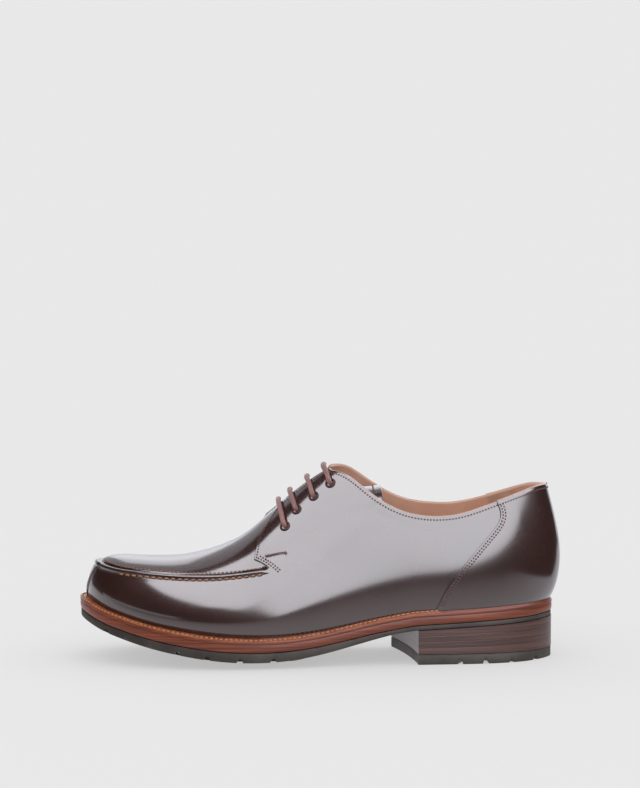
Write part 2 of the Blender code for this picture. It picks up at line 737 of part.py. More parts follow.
def heel_plate(name, bottom_of, top_of, material, inset):
    """One layer of the heel between two straight faces."""
    plan = heel_outline(inset)
    count = len(plan)
    low = np.column_stack([plan, bottom_of(plan[:, 0])])
    high = np.column_stack([plan, top_of(plan[:, 0])])
    faces = [list(range(count))[::-1], [i + count for i in range(count)]]
    for i in range(count):
        j = (i + 1) % count
        faces.append((i, j, j + count, i + count))
    return make_object(name, np.concatenate([low, high]), faces, material)


def heel_seat(x):
    """Underside of the outsole over the heel, less a gap."""
    return outsole_top(x) - OUTSOLE_EDGE[-1].z - GAP


def build_heel(leather, rubber):
    """Leather lifts that share the room between outsole and top piece, each a slight wedge."""

    def layer_face(number, lowered):
        def face(x):
            share = number / LIFTS
            return TOP_PIECE_THICKNESS + GAP + (heel_seat(x) - TOP_PIECE_THICKNESS) * share - lowered

        return face

    for number in range(LIFTS):
        name = f"heel_lift_{number + 1}"
        heel_plate(name, layer_face(number, 0), layer_face(number + 1, GAP), leather, HEEL_INSET)

    def top_face(x):
        return np.full_like(x, TOP_PIECE_THICKNESS)

    return heel_plate("heel_top_piece", np.zeros_like, top_face, rubber, TOP_PIECE_INSET)


def build_groove_cutter(name, stations, offset_of, material):
    """Boxes that cut the tread's grooves into both lower edges of a rubber piece."""
    cutter_mesh = bmesh.new()
    for side in (LATERAL, MEDIAL):
        for x in stations:
            turn = turn_at(x, side)
            out = outward(turn)
            place = loop_outline(offset_of, np.array([turn]))[0]
            low = float(outsole_bottom(np.array(place[0]), np.array(0.0))) if x < BREAST_MEDIAL_X else 0.0
            middle = place - out * (GROOVE_LENGTH / 2 - GROOVE_OVERRUN)
            height = low + GROOVE_DEPTH + GROOVE_OVERRUN + OUTSOLE_CAMBER
            centre = (*(middle - (CENTRE_X, CENTRE_Y)), low + GROOVE_DEPTH - height / 2)
            frame = Matrix.Translation(Vector(centre) * MM)
            frame = frame @ Matrix.Rotation(np.arctan2(out[1], out[0]), 4, "Z")
            size = Vector((GROOVE_LENGTH, GROOVE_WIDTH, height)) * MM
            bmesh.ops.create_cube(cutter_mesh, size=1.0, matrix=frame @ Matrix.Diagonal((*size, 1.0)))
    mesh = bpy.data.meshes.new(name)
    cutter_mesh.to_mesh(mesh)
    cutter_mesh.free()
    mesh.materials.append(material)
    cutter = bpy.data.objects.new(name, mesh)
    bpy.context.scene.collection.objects.link(cutter)
    cutter.hide_render = True
    cutter.display_type = "WIRE"
    return cutter


# Tongue, eyelets and lace


def last_height(x, y):
    """Height of the last's top over a point of its plan, from its cross-section at x."""
    side = MEDIAL if y > ridge_y(x) else LATERAL
    turn = turn_at(x, side)
    section = last(turn, TOP_RISES)
    order = np.argsort(section[:, 1])
    return np.interp(y, section[order, 1], section[order, 2])


def tongue_height(x, share):
    """Outer face of the tongue: under the facings along the last, then out behind them."""
    under_x = min(x, TONGUE_LINE[0].x)
    under = last_height(under_x, ridge_y(under_x) + share * TONGUE_HALF_WIDTH) - TONGUE_CLEARANCE
    return under + (tongue_line(x) - tongue_line(under_x) if x > under_x else 0)


def build_tongue(material):
    end_x = TONGUE_LINE[-1].x
    shares = np.linspace(-1, 1, TONGUE_SHARES)
    outer = []
    for x in np.linspace(TONGUE_START_X, end_x, TONGUE_STATIONS):
        outer.append([(x, ridge_y(x) + s * TONGUE_HALF_WIDTH, tongue_height(x, s)) for s in shares])
    outer = np.array(outer)
    along, across = np.gradient(outer, axis=0), np.gradient(outer, axis=1)
    normal = np.cross(along, across)
    normal /= np.linalg.norm(normal, axis=-1, keepdims=True)
    inner = outer - normal * TONGUE_THICKNESS
    total = len(outer) * len(shares)
    faces = grid_faces(outer.shape[:2])
    quads = [q[::-1] for q in faces] + [[i + total for i in q] for q in faces]
    rim = rim_faces(quads[: len(faces)], total)
    points = np.concatenate([outer.reshape(-1, 3), inner.reshape(-1, 3)])
    return make_object("tongue", points, quads + rim, material)


def build_eyelet(name, level, side, material):
    """Turned ring: a flange on the facing and a barrel through the lace hole."""
    centre, out = lace_hole_frame(level, side)
    across, along = plane_axes(out)
    depth = PANEL_LEVEL - LINING
    profile = [
        (EYELET_BORE, -depth),
        (EYELET_BARREL, -depth),
        (EYELET_BARREL, GAP),
        (EYELET_FLANGE, GAP),
        (EYELET_FLANGE - EYELET_BEVEL, GAP + EYELET_LIP),
        (EYELET_BORE, GAP + EYELET_LIP),
    ]
    angles = np.arange(EYELET_SIDES) * 2 * np.pi / EYELET_SIDES
    turned = np.cos(angles)[:, None] * across + np.sin(angles)[:, None] * along
    rows = [centre + out * height + turned * radius for radius, height in profile]
    rows.append(rows[0])
    count = EYELET_SIDES * len(profile)
    faces = [[i % count for i in quad] for quad in grid_faces((len(rows), EYELET_SIDES), closed=True)]
    return make_object(name, np.concatenate(rows[:-1]), faces, material)


def lace_bar_points(level):
    """Middle line of one bar of the lace: from the lateral hole over the throat to the medial one."""
    halves = []
    for side in (LATERAL, MEDIAL):
        turn = turn_at(level.x, side)
        hole = rise_at_height(turn, level.z)
        edge = rise_at_gap(turn, FACING_TOP_HALF_GAP)
        lift = PANEL_LEVEL + LACE_LIFT + LACE_RADIUS
        rises = np.linspace(hole + (edge - hole) * LACE_START, edge, LACE_KNOTS)
        halves.append(off_last(np.full(LACE_KNOTS, turn), rises, np.full(LACE_KNOTS, lift)))
    lateral, medial = halves
    crown = (lateral[-1] + medial[-1]) / 2 + (0, 0, LACE_CROWN)
    return np.concatenate([lateral, [crown], medial[::-1]])


def build_lace_bar(name, level, material):
    route = lace_bar_points(level)
    knots = np.concatenate([[0.0], np.cumsum(np.linalg.norm(np.diff(route, axis=0), axis=1))])
    lengths = np.linspace(0, knots[-1], LACE_POINTS)
    smooth = np.column_stack([Spline(knots, route[:, axis])(lengths) for axis in range(3)])
    curve = bpy.data.curves.new(name, "CURVE")
    curve.dimensions = "3D"
    curve.bevel_depth = LACE_RADIUS * MM
    curve.bevel_resolution = 2
    curve.use_fill_caps = True
    spline = curve.splines.new("POLY")
    spline.points.add(len(smooth) - 1)
    for point, place in zip(spline.points, (smooth - (CENTRE_X, CENTRE_Y, 0)) * MM):
        point.co = (*place, 1.0)
    curve.materials.append(material)
    obj = bpy.data.objects.new(name, curve)
    bpy.context.scene.collection.objects.link(obj)
    return obj


def main():
    for obj in list(bpy.data.objects):
        bpy.data.objects.remove(obj)
    box_calf = make_material("dark_brown_leather", (0.045, 0.018, 0.015), 0.22)
    sole_leather = make_material("red_brown_sole_leather", (0.20, 0.055, 0.028), 0.42)
    heel_leather = make_material("stacked_heel_leather", (0.085, 0.042, 0.035), 0.45)
    rubber = make_material("black_rubber", (0.035, 0.035, 0.032), 0.6)
    sock = make_material("tan_lining_leather", (0.48, 0.25, 0.14), 0.55)
    cord = make_material("brown_waxed_cord", (0.20, 0.09, 0.08), 0.5)
    enamel = make_material("brown_enamelled_brass", (0.05, 0.022, 0.02), 0.35, 0.6)

    upper = build_upper(box_calf)
    cut(upper, build_lace_hole_cutter(box_calf))
    build_tongue(box_calf)
    build_insole(sock)
    build_welt(sole_leather)
    plate_solid("midsole", inside_welt(MIDSOLE_INSET), midsole_top, midsole_bottom, sole_leather)
    outsole_edge_plan = inside_welt(OUTSOLE_INSET)
    outsole = plate_solid("outsole", outsole_edge_plan, outsole_top, outsole_bottom, rubber)
    cut(outsole, build_groove_cutter("forepart_grooves", FOREPART_GROOVES, outsole_edge_plan, rubber))
    top_piece = build_heel(heel_leather, rubber)
    cut(top_piece, build_groove_cutter("heel_grooves", HEEL_GROOVES, inside_welt(TOP_PIECE_INSET), rubber))
    for number, level in enumerate(EYELETS, 1):
        for side, word in ((LATERAL, "lateral"), (MEDIAL, "medial")):
            build_eyelet(f"eyelet_{word}_{number}", level, side, enamel)
        build_lace_bar(f"lace_bar_{number}", level, cord)


main()
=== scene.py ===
# %% [markdown]
# # A norwegian derby, dressed
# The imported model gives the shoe's solids as a fixed frame: wall, sole, heel, tongue, eyelets and lace.
# This lesson lays the visible shoe over them: polished calf panels with rolled edges, a hand-sewn
# apron seam, rows of thread, a stitched welt, a stacked heel and a braided lace.
# Sizes are in millimetres until a mesh is made. The toe points to -X, the lateral side to -Y.

import json
from collections import namedtuple

import bmesh
import bpy
import numpy as np
from mathutils import Matrix, Vector

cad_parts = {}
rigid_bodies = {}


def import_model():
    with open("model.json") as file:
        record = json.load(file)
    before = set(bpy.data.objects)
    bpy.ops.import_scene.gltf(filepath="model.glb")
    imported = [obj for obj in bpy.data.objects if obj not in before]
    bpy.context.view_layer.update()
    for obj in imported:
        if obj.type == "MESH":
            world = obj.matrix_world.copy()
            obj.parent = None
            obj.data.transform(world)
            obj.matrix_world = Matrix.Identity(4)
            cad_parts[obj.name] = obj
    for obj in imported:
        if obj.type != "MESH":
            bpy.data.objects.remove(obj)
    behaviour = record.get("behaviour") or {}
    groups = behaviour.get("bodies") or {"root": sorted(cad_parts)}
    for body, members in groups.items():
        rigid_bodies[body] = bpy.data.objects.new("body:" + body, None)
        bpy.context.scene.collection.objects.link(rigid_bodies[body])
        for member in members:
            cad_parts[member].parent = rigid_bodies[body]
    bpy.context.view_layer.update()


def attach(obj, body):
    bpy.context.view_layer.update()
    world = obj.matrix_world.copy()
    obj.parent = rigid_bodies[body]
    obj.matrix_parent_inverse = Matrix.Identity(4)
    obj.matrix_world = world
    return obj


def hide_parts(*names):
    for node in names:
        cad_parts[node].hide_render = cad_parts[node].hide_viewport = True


for leftover in list(bpy.data.objects):
    bpy.data.objects.remove(leftover)
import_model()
MM = 0.001
CENTRE = np.array([0.45, 0.73, 0.0])  # the frame's origin in the shoe's own millimetres

# %% [markdown]
# ## The last
# A shoe is pulled over a wooden form, the last, so every panel is a piece of one smooth surface.
# The surface could be sculpted, but a formula can be walked along: seams, edges and stitches
# then follow it exactly. A point is given by its turn, a length along the feather edge where upper
# and sole meet, and by its rise, 0 at that edge and 1 on the ridge of the instep.

# %% Tables of the last
LATERAL, MEDIAL = 0, 1
SIDES = (LATERAL, MEDIAL)

# x, lateral, medial: feather edge in plan. ridge_x: where the section meets the ridge.
# fullness: exponent of the section's superellipse. bulge: swell of its side. welt: its width.
Section = namedtuple("Section", "x lateral medial ridge_x fullness bulge welt")
SECTIONS = [
    Section(-144.9, 5.0, 5.0, -118.0, 3.4, 0.3, 6.6),
    Section(-140.8, -9.8, 19.8, -116.5, 3.2, 0.5, 6.4),
    Section(-130.8, -23.5, 31.5, -111.0, 2.9, 1.2, 5.9),
    Section(-113.8, -34.5, 40.0, -102.0, 2.5, 2.2, 5.6),
    Section(-88.0, -42.2, 45.6, -85.0, 2.2, 3.0, 5.8),
    Section(-60.0, -45.2, 46.2, -60.0, 2.1, 3.4, 5.8),
    Section(-32.0, -43.6, 40.6, -32.0, 2.05, 3.4, 5.6),
    Section(0.0, -38.5, 32.2, 0.0, 2.2, 3.2, 5.0),
    Section(34.0, -34.4, 28.0, 32.0, 2.7, 3.0, 4.2),
    Section(68.0, -32.4, 28.8, 60.0, 3.3, 3.2, 3.6),
    Section(99.5, -30.6, 30.0, 80.0, 3.5, 3.6, 3.2),
    Section(123.0, -24.4, 24.6, 94.0, 3.5, 4.4, 3.1),
    Section(138.4, -12.2, 12.8, 103.0, 3.4, 5.4, 3.1),
    Section(144.2, 0.5, 0.5, 106.0, 3.4, 5.8, 3.1),
]
Ridge = namedtuple("Ridge", "x y z")
RIDGE = [
    Ridge(-118.0, 5.0, 64.2),
    Ridge(-100.0, 5.0, 63.2),
    Ridge(-84.0, 4.5, 64.3),
    Ridge(-70.0, 4.0, 67.6),
    Ridge(-57.0, 3.5, 72.3),
    Ridge(-45.0, 3.0, 79.0),
    Ridge(-36.0, 2.5, 86.6),
    Ridge(-24.0, 2.0, 97.0),
    Ridge(-12.0, 1.5, 107.6),
    Ridge(0.0, 1.0, 117.0),
    Ridge(14.0, 0.5, 126.0),
    Ridge(40.0, 0.0, 137.0),
    Ridge(75.0, 0.0, 143.0),
    Ridge(106.0, 0.5, 146.0),
]
Level = namedtuple("Level", "x z")
FEATHER = [
    Level(-153.0, 41.4),
    Level(-146.8, 39.0),
    Level(-135.0, 34.7),
    Level(-120.0, 30.5),
    Level(-106.0, 27.0),
    Level(-90.0, 23.9),
    Level(-70.0, 21.0),
    Level(-45.0, 19.2),
    Level(-20.0, 19.7),
    Level(0.0, 22.2),
    Level(20.0, 26.2),
    Level(40.0, 30.3),
    Level(58.0, 33.2),
]
SEAT_START, SEAT_Z, SEAT_SLOPE = 58.0, 33.2, 0.053
SWELL_TOP, SWELL_SKEW, SWELL_POWER = 0.66, 0.7, 1.2
FEATHER_BLEND = 0.12


# %% Smooth curves through a table
class Spline:
    """Cubic spline: piecewise cubics whose slope and bend agree at the knots, closed over a period."""

    def __init__(self, knots, values, period=None):
        x, y = np.asarray(knots, float), np.asarray(values, float)
        if period:
            x, y = np.append(x, x[0] + period), np.append(y, y[0])
        n, h = len(x), np.diff(x)
        slope = np.diff(y) / h
        a, b = np.zeros((n, n)), np.zeros(n)
        for i in range(1, n - 1):
            a[i, i - 1 : i + 2] = h[i - 1], 2 * (h[i - 1] + h[i]), h[i]
            b[i] = 6 * (slope[i] - slope[i - 1])
        if period:
            a[0, 0], a[0, -1] = 1, -1
            a[-1, [0, 1, -2, -1]] = 2 * h[0], h[0], h[-1], 2 * h[-1]
            b[-1] = 6 * (slope[0] - slope[-1])
        else:
            a[0, 0] = a[-1, -1] = 1
        self.x, self.y, self.h, self.period = x, y, h, period
        self.bend = np.linalg.solve(a, b)

    def __call__(self, at):
        at = np.asarray(at, float)
        if self.period:
            at = self.x[0] + np.mod(at - self.x[0], self.period)
        i = np.clip(np.searchsorted(self.x, at, side="right") - 1, 0, len(self.h) - 1)
        h = self.h[i]
        left = np.clip((self.x[i + 1] - at) / h, 0, 1)
        right = 1 - left
        curve = ((left**3 - left) * self.bend[i] + (right**3 - right) * self.bend[i + 1]) * h * h / 6
        return left * self.y[i] + right * self.y[i + 1] + curve


def spline_of(rows, across="x", up="z"):
    """The spline through two named columns of a table."""
    return Spline([getattr(r, across) for r in rows], [getattr(r, up) for r in rows])


LOOP = [(row, row.lateral) for row in SECTIONS] + [(row, row.medial) for row in SECTIONS[-2:0:-1]]
LOOP_XY = np.array([(row.x, y) for row, y in LOOP])
LOOP_STEPS = np.linalg.norm(np.roll(LOOP_XY, -1, axis=0) - LOOP_XY, axis=1)
LOOP_KNOTS = np.concatenate([[0.0], np.cumsum(LOOP_STEPS)[:-1]])
LOOP_LENGTH = LOOP_STEPS.sum()
HEEL_KNOT = LOOP_KNOTS[len(SECTIONS) - 1]
outline_x = Spline(LOOP_KNOTS, LOOP_XY[:, 0], LOOP_LENGTH)
outline_y = Spline(LOOP_KNOTS, LOOP_XY[:, 1], LOOP_LENGTH)
ridge_x_of, fullness_of, bulge_of, welt_of = (
    Spline(LOOP_KNOTS, [getattr(row, name) for row, _ in LOOP], LOOP_LENGTH)
    for name in ("ridge_x", "fullness", "bulge", "welt")
)
ridge_y, ridge_z, arch_z = spline_of(RIDGE, up="y"), spline_of(RIDGE), spline_of(FEATHER)
print("feather edge:", round(LOOP_LENGTH), "mm round")


# %% The surface
def feather_z(x):
    """Height of the feather edge: a curve up to the arch, then the straight heel seat."""
    x = np.asarray(x, float)
    seat = SEAT_Z + SEAT_SLOPE * (x - SEAT_START)
    return np.where(x > SEAT_START, seat, arch_z(np.minimum(x, SEAT_START)))


DENSE_SHARES = np.linspace(0, 1, 6000)
BRANCHES = (DENSE_SHARES * HEEL_KNOT, LOOP_LENGTH - DENSE_SHARES * (LOOP_LENGTH - HEEL_KNOT))
STATION_X = outline_x(BRANCHES[LATERAL])
RISING = DENSE_SHARES * 1e-9  # keeps the table rising, so that both sides meet at the tip
MEDIAL_RIDGE_X = np.maximum.accumulate(ridge_x_of(BRANCHES[MEDIAL])) + RISING


def station_at(x):
    """Station of the section whose lateral foot is at x: its turn on the lateral side."""
    return np.interp(x, STATION_X, BRANCHES[LATERAL])


def side_turn(station, side):
    """Turn of a station on either side. The two sides of a section meet on the ridge."""
    if side == LATERAL:
        return np.asarray(station, float)
    return np.interp(ridge_x_of(station), MEDIAL_RIDGE_X, BRANCHES[MEDIAL])


def turn_at(x, side):
    """Turn of the section at x, on either side."""
    return side_turn(station_at(x), side)


def outward(turn):
    """Level direction out of the feather edge: its tangent turned a quarter."""
    small = 0.05
    dx = outline_x(turn + small) - outline_x(turn - small)
    dy = outline_y(turn + small) - outline_y(turn - small)
    length = np.hypot(dx, dy)
    return np.stack([dy / length, -dx / length], -1)


def last(turn, rise):
    """Points of the last: a quarter superellipse from feather edge to ridge, plus the side's swell."""
    turn, rise = np.broadcast_arrays(np.asarray(turn, float), np.asarray(rise, float))
    foot_x, foot_y, top_x = outline_x(turn), outline_y(turn), ridge_x_of(turn)
    foot_z, top_z, n = feather_z(foot_x), ridge_z(top_x), fullness_of(turn)
    angle = np.clip(rise, 0, 1) * np.pi / 2
    size = (np.abs(np.cos(angle)) ** n + np.abs(np.sin(angle)) ** n) ** (-1 / n)
    inward, up = 1 - np.cos(angle) * size, np.sin(angle) * size
    swell = np.sin(np.pi * np.clip(up / SWELL_TOP, 0, 1) ** SWELL_SKEW) ** SWELL_POWER
    push = outward(turn) * (bulge_of(turn) * swell)[..., None]
    x = foot_x + (top_x - foot_x) * inward + push[..., 0]
    y = foot_y + (ridge_y(top_x) - foot_y) * inward + push[..., 1]
    return np.stack([x, y, foot_z + (top_z - foot_z) * up], -1)


def rise_at_height(turn, z):
    """Rise of the point of a section at height z: the superellipse solved for its angle."""
    low, high, n = feather_z(outline_x(turn)), ridge_z(ridge_x_of(turn)), fullness_of(turn)
    up = np.clip((np.asarray(z) - low) / (high - low), 0, 0.9999)
    return np.arctan(up / (1 - up**n) ** (1 / n)) * 2 / np.pi


def rise_at_gap(turn, half_gap):
    """Rise of the point of a section that lies half_gap away from the ridge in plan."""
    top_x, n = ridge_x_of(turn), fullness_of(turn)
    reach = np.hypot(outline_x(turn) - top_x, outline_y(turn) - ridge_y(top_x))
    return np.arctan(((half_gap / reach) ** (-n) - 1) ** (1 / n)) * 2 / np.pi


def level_share(rise):
    """0 at the feather edge, 1 from a little above it."""
    return np.clip(np.asarray(rise) / FEATHER_BLEND, 0, 1)


def unit(vectors):
    """Vectors scaled to length 1."""
    return vectors / np.maximum(np.linalg.norm(vectors, axis=-1, keepdims=True), 1e-12)


def last_normal(turn, rise):
    """Directions out of the last: the cross of two central differences, level at the feather edge."""
    small_turn, small_rise = 0.4, 0.004
    along = last(turn + small_turn, rise) - last(turn - small_turn, rise)
    up = last(turn, np.minimum(rise + small_rise, 1)) - last(turn, np.maximum(rise - small_rise, 0))
    normal = np.cross(along, up)
    normal[..., 2] *= level_share(rise)
    return unit(normal)


def off_last(turn, rise, distance):
    """Points at a distance from the last. At the feather edge they keep to the welt's height."""
    turn, rise = np.broadcast_arrays(np.asarray(turn, float), np.asarray(rise, float))
    base = last(turn, rise)
    points = base + last_normal(turn, rise) * np.broadcast_to(distance, turn.shape)[..., None]
    points[..., 2] += (feather_z(points[..., 0]) - feather_z(base[..., 0])) * (1 - level_share(rise))
    return points


# %% [markdown]
# ## From grids to meshes
# Every piece below is a grid of points or a profile carried along a path. One helper joins the grids
# of a piece, welds the points they share, so that no crack shows, and hangs the piece on the frame.
# The grid's own lengths in millimetres become its UV map, which patterns along a cord can follow.


# %% Make a piece
def grid_quads(rows, columns):
    """Corner numbers of a grid's quads: each point with its neighbours to the right and above."""
    i = np.arange(rows * columns).reshape(rows, columns)
    return np.stack([i[:-1, :-1], i[:-1, 1:], i[1:, 1:], i[1:, :-1]], -1).reshape(-1, 4)


def closed(grid):
    """A grid whose first column is repeated at its end, so that its rows are rings."""
    return np.concatenate([grid, grid[:, :1]], axis=1)


def lengths_along(grid, axis):
    """Length walked along a grid's lines in one direction, in millimetres, from its first line."""
    steps = np.linalg.norm(np.diff(grid, axis=axis), axis=-1)
    pad = [(0, 0), (0, 0)]
    pad[axis] = (1, 0)
    return np.cumsum(np.pad(steps, pad), axis=axis)


def walked_along(line):
    """Length walked along a line of points, in millimetres, from its first point."""
    return np.concatenate([[0.0], np.cumsum(np.linalg.norm(np.diff(line, axis=0), axis=1))])


def make_piece(name, grids, material, replaces=(), weld=0.004, sharp=None):
    """One mesh object from grids of points in mm. A grid may be paired with True to turn it over."""
    points, quads, uvs, start = [], [], [], 0
    for entry in grids:
        grid, over = entry if isinstance(entry, tuple) else (entry, False)
        rows, columns = grid.shape[:2]
        faces = grid_quads(rows, columns) + start
        quads.append(faces[:, ::-1] if over else faces)
        points.append(grid.reshape(-1, 3))
        uvs.append(np.stack([lengths_along(grid, 1), lengths_along(grid, 0)], -1).reshape(-1, 2))
        start += rows * columns
    points, quads, uvs = np.concatenate(points), np.concatenate(quads), np.concatenate(uvs)
    mesh = bpy.data.meshes.new(name)
    mesh.from_pydata(((points - CENTRE) * MM).tolist(), [], quads.tolist())
    layer = mesh.uv_layers.new(name="lengths")
    layer.data.foreach_set("uv", uvs[quads.ravel()].astype(np.float32).ravel())
    work = bmesh.new()
    work.from_mesh(mesh)
    bmesh.ops.remove_doubles(work, verts=work.verts, dist=weld * MM)
    bmesh.ops.dissolve_degenerate(work, edges=work.edges, dist=weld * MM / 4)
    work.to_mesh(mesh)
    work.free()
    mesh.shade_smooth()
    if sharp:
        mesh.set_sharp_from_angle(angle=np.radians(sharp))
    mesh.materials.append(material)
    piece = bpy.data.objects.new(name, mesh)
    bpy.context.scene.collection.objects.link(piece)
    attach(piece, "root")
    if replaces:
        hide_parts(*replaces)
    print(f"{name}: {len(mesh.polygons)} faces")


# %% [markdown]
# ## Materials
# A material is a small tree of nodes. One function adds a node with its settings and links, and one
# turns the colours that we read as sRGB hex into the linear values that the renderer adds up. Three
# more make what most finishes share: a noise, a tone between two colours and a relief.


# %% Nodes and colours
def linear(hex_colour):
    """sRGB hex to linear RGBA: each channel through the sRGB curve."""
    srgb = np.array([int(hex_colour[i : i + 2], 16) for i in (1, 3, 5)]) / 255
    curve = np.where(srgb <= 0.04045, srgb / 12.92, ((srgb + 0.055) / 1.055) ** 2.4)
    return (*curve.tolist(), 1.0)


def add(tree, kind, inputs=None, **settings):
    """Adds a node with its settings. Each input is a value or the output socket it is linked to."""
    made = tree.nodes.new(kind)
    for name, value in settings.items():
        setattr(made, name, value)
    for socket, value in (inputs or {}).items():
        if isinstance(value, bpy.types.NodeSocket):
            tree.links.new(value, made.inputs[socket])
        else:
            made.inputs[socket].default_value = value
    return made


def new_material(name, **sockets):
    """A named material with its constant sockets set on the shader. Returns it with its parts."""
    material = bpy.data.materials.new(name)
    material.use_nodes = True
    tree = material.node_tree
    shader = tree.nodes["Principled BSDF"]
    for socket, value in sockets.items():
        shader.inputs[socket.replace("_", " ")].default_value = value
    print("material:", name)
    return material, tree, shader


def object_place(tree):
    """Coordinates in metres that stay on the piece."""
    return add(tree, "ShaderNodeTexCoord").outputs["Object"]


def noise(tree, vector, scale, detail):
    """Factor of a noise on some coordinates."""
    inputs = {"Vector": vector, "Scale": scale, "Detail": detail}
    return add(tree, "ShaderNodeTexNoise", inputs).outputs["Fac"]


def toned(tree, shader, factor, dark, light, low=0.0, high=1.0):
    """Gives the base colour a ramp from dark to light between two values of a factor."""
    ramp = add(tree, "ShaderNodeValToRGB", {"Fac": factor})
    for element, colour, position in zip(ramp.color_ramp.elements, (dark, light), (low, high)):
        element.color, element.position = linear(colour), position
    tree.links.new(ramp.outputs["Color"], shader.inputs["Base Color"])


def raised(tree, shader, height, strength, distance, under=None):
    """Gives the surface a bump of some height, laid over another one if there is one."""
    inputs = {"Height": height, "Strength": strength, "Distance": distance}
    if under is not None:
        inputs["Normal"] = under
    bump = add(tree, "ShaderNodeBump", inputs).outputs["Normal"]
    tree.links.new(bump, shader.inputs["Normal"])
    return bump


# %% [markdown]
# ### Polished calf
# The upper is full-grain calf, dyed dark brown, waxed and brushed. To the eye that is a nearly black
# brown with a clear gloss, a very fine grain that softens the gloss, and slow changes of tone
# where the dye has taken more or less. Grain is drawn at 0.9 mm, about twice its real
# size, because finer grain would not show.

# %% Polished calf material
CALF_DARK, CALF_WARM = "#321c19", "#3f2723"
GRAIN_MM, TONE_MM, WRINKLE_MM = 0.9, 38.0, 7.0

calf, tree, shader = new_material(
    "polished_calf",
    Roughness=0.4,
    IOR=1.45,
    Specular_IOR_Level=0.1,
    Coat_Weight=1.0,
    Coat_Roughness=0.15,
    Coat_IOR=1.8,
)
place = object_place(tree)
toned(tree, shader, noise(tree, place, 1000 / TONE_MM, 3.0), CALF_DARK, CALF_WARM, 0.3, 0.75)
wrinkles = raised(tree, shader, noise(tree, place, 1000 / WRINKLE_MM, 0.5), 0.05, 0.0006)
grain = add(tree, "ShaderNodeTexVoronoi", {"Vector": place, "Scale": 1000 / GRAIN_MM}, feature="SMOOTH_F1")
raised(tree, shader, grain.outputs["Distance"], 0.09, 0.0002, under=wrinkles)

# %% [markdown]
# ### The other leathers
# The lining is undyed tan leather with a dull face. The welt is the same kind of leather with a warm
# orange finish. The edge of the midsole is cut through many fibres, then stained and waxed, so it
# shows fine streaks along the cut. The heel is a stack of such cuts.


# %% Leather finishes made from one pattern
def cut_leather(name, dark, light, streak_mm, grain_mm, roughness, bump, coat=0.0):
    """Leather whose tone follows noise: streak_mm gives the pattern's size along x, y and z."""
    material, tree, shader = new_material(
        name, Roughness=roughness, IOR=1.48, Specular_IOR_Level=0.3, Coat_Weight=coat, Coat_Roughness=0.2
    )
    place = object_place(tree)
    sizes = tuple(1000 / size for size in streak_mm)
    sized = add(tree, "ShaderNodeMapping", {"Vector": place, "Scale": sizes})
    streak = noise(tree, sized.outputs["Vector"], 1.0, 4.0)
    toned(tree, shader, streak, dark, light, 0.32, 0.7)
    grain = noise(tree, place, 1000 / grain_mm, 3.0)
    both = add(tree, "ShaderNodeMath", {0: grain, 1: streak}, operation="ADD")
    raised(tree, shader, both.outputs[0], bump, 0.0004)
    return material


lining_leather = cut_leather("tan_lining_leather", "#dba58a", "#eec2a8", (26, 26, 26), 1.2, 0.55, 0.25)
heel_grip_leather = cut_leather("brushed_heel_grip", "#c79c86", "#d8b19c", (12, 12, 12), 0.8, 0.75, 0.3)
# Pale leather for the top of the collar's rounded edge: the folded edge's lighter tone with a painted
# highlight laid in.
pale_rim_and_highlight_leather = cut_leather("folded_collar_edge_and_painted_highlight", "#b8968a", "#d3b6aa", (14, 14, 14), 0.8, 0.42, 0.2)
welt_leather = cut_leather("tan_welt_leather", "#8f4a2c", "#b56c43", (9, 9, 3), 0.8, 0.4, 0.3)
sole_edge = cut_leather("waxed_sole_edge", "#5c2615", "#8a4226", (40, 40, 0.9), 0.7, 0.42, 0.2, 0.12)
heel_stack_leather = cut_leather(
    "stacked_heel_leather", "#3c2723", "#62423a", (70, 70, 1.6), 0.7, 0.4, 0.12, 0.15
)

# %% [markdown]
# ### Rubber, thread, cord and enamel
# The outsole is moulded rubber: near black, matt, with a fine pebble from its mould. Thread is
# twisted and waxed. The lace is a round braid, whose crossing strands are drawn on its own UV
# map. The eyelets are brass with baked brown enamel.

# %% Moulded rubber
RUBBER_PEBBLE_MM, RUBBER_BLOOM_MM = 0.8, 16.67
rubber, tree, shader = new_material("moulded_rubber", Roughness=0.6, IOR=1.52, Specular_IOR_Level=0.25)
place = object_place(tree)
toned(tree, shader, noise(tree, place, 1000 / RUBBER_BLOOM_MM, 4.0), "#332c27", "#463f39", 0.35, 0.7)
raised(tree, shader, noise(tree, place, 1000 / RUBBER_PEBBLE_MM, 2.0), 0.2, 0.0003)


# %% Twisted thread, braided cord and enamel
WAVES_PER_UNIT = 0.314  # scale at which the wave texture has one strand in a unit


def twisted(name, dark, light, strand_mm, angle, roughness, bump):
    """Cord whose tone and relief follow slanted strands, drawn as waves on its UV map in mm."""
    material, tree, shader = new_material(name, Roughness=roughness, IOR=1.45, Sheen_Weight=0.05)
    place = add(tree, "ShaderNodeUVMap", uv_map="lengths").outputs["UV"]
    strands = []
    for lean in (angle, -angle):
        turned = add(tree, "ShaderNodeMapping", {"Vector": place, "Rotation": (0, 0, np.radians(lean))})
        wave = {"Vector": turned.outputs["Vector"], "Scale": WAVES_PER_UNIT / strand_mm, "Distortion": 0.4}
        strands.append(add(tree, "ShaderNodeTexWave", wave).outputs["Fac"])
    weave = add(tree, "ShaderNodeMath", {0: strands[0], 1: strands[1]}, operation="MAXIMUM").outputs[0]
    toned(tree, shader, weave, dark, light, 0.3, 0.9)
    raised(tree, shader, weave, bump, 0.0003)
    return material


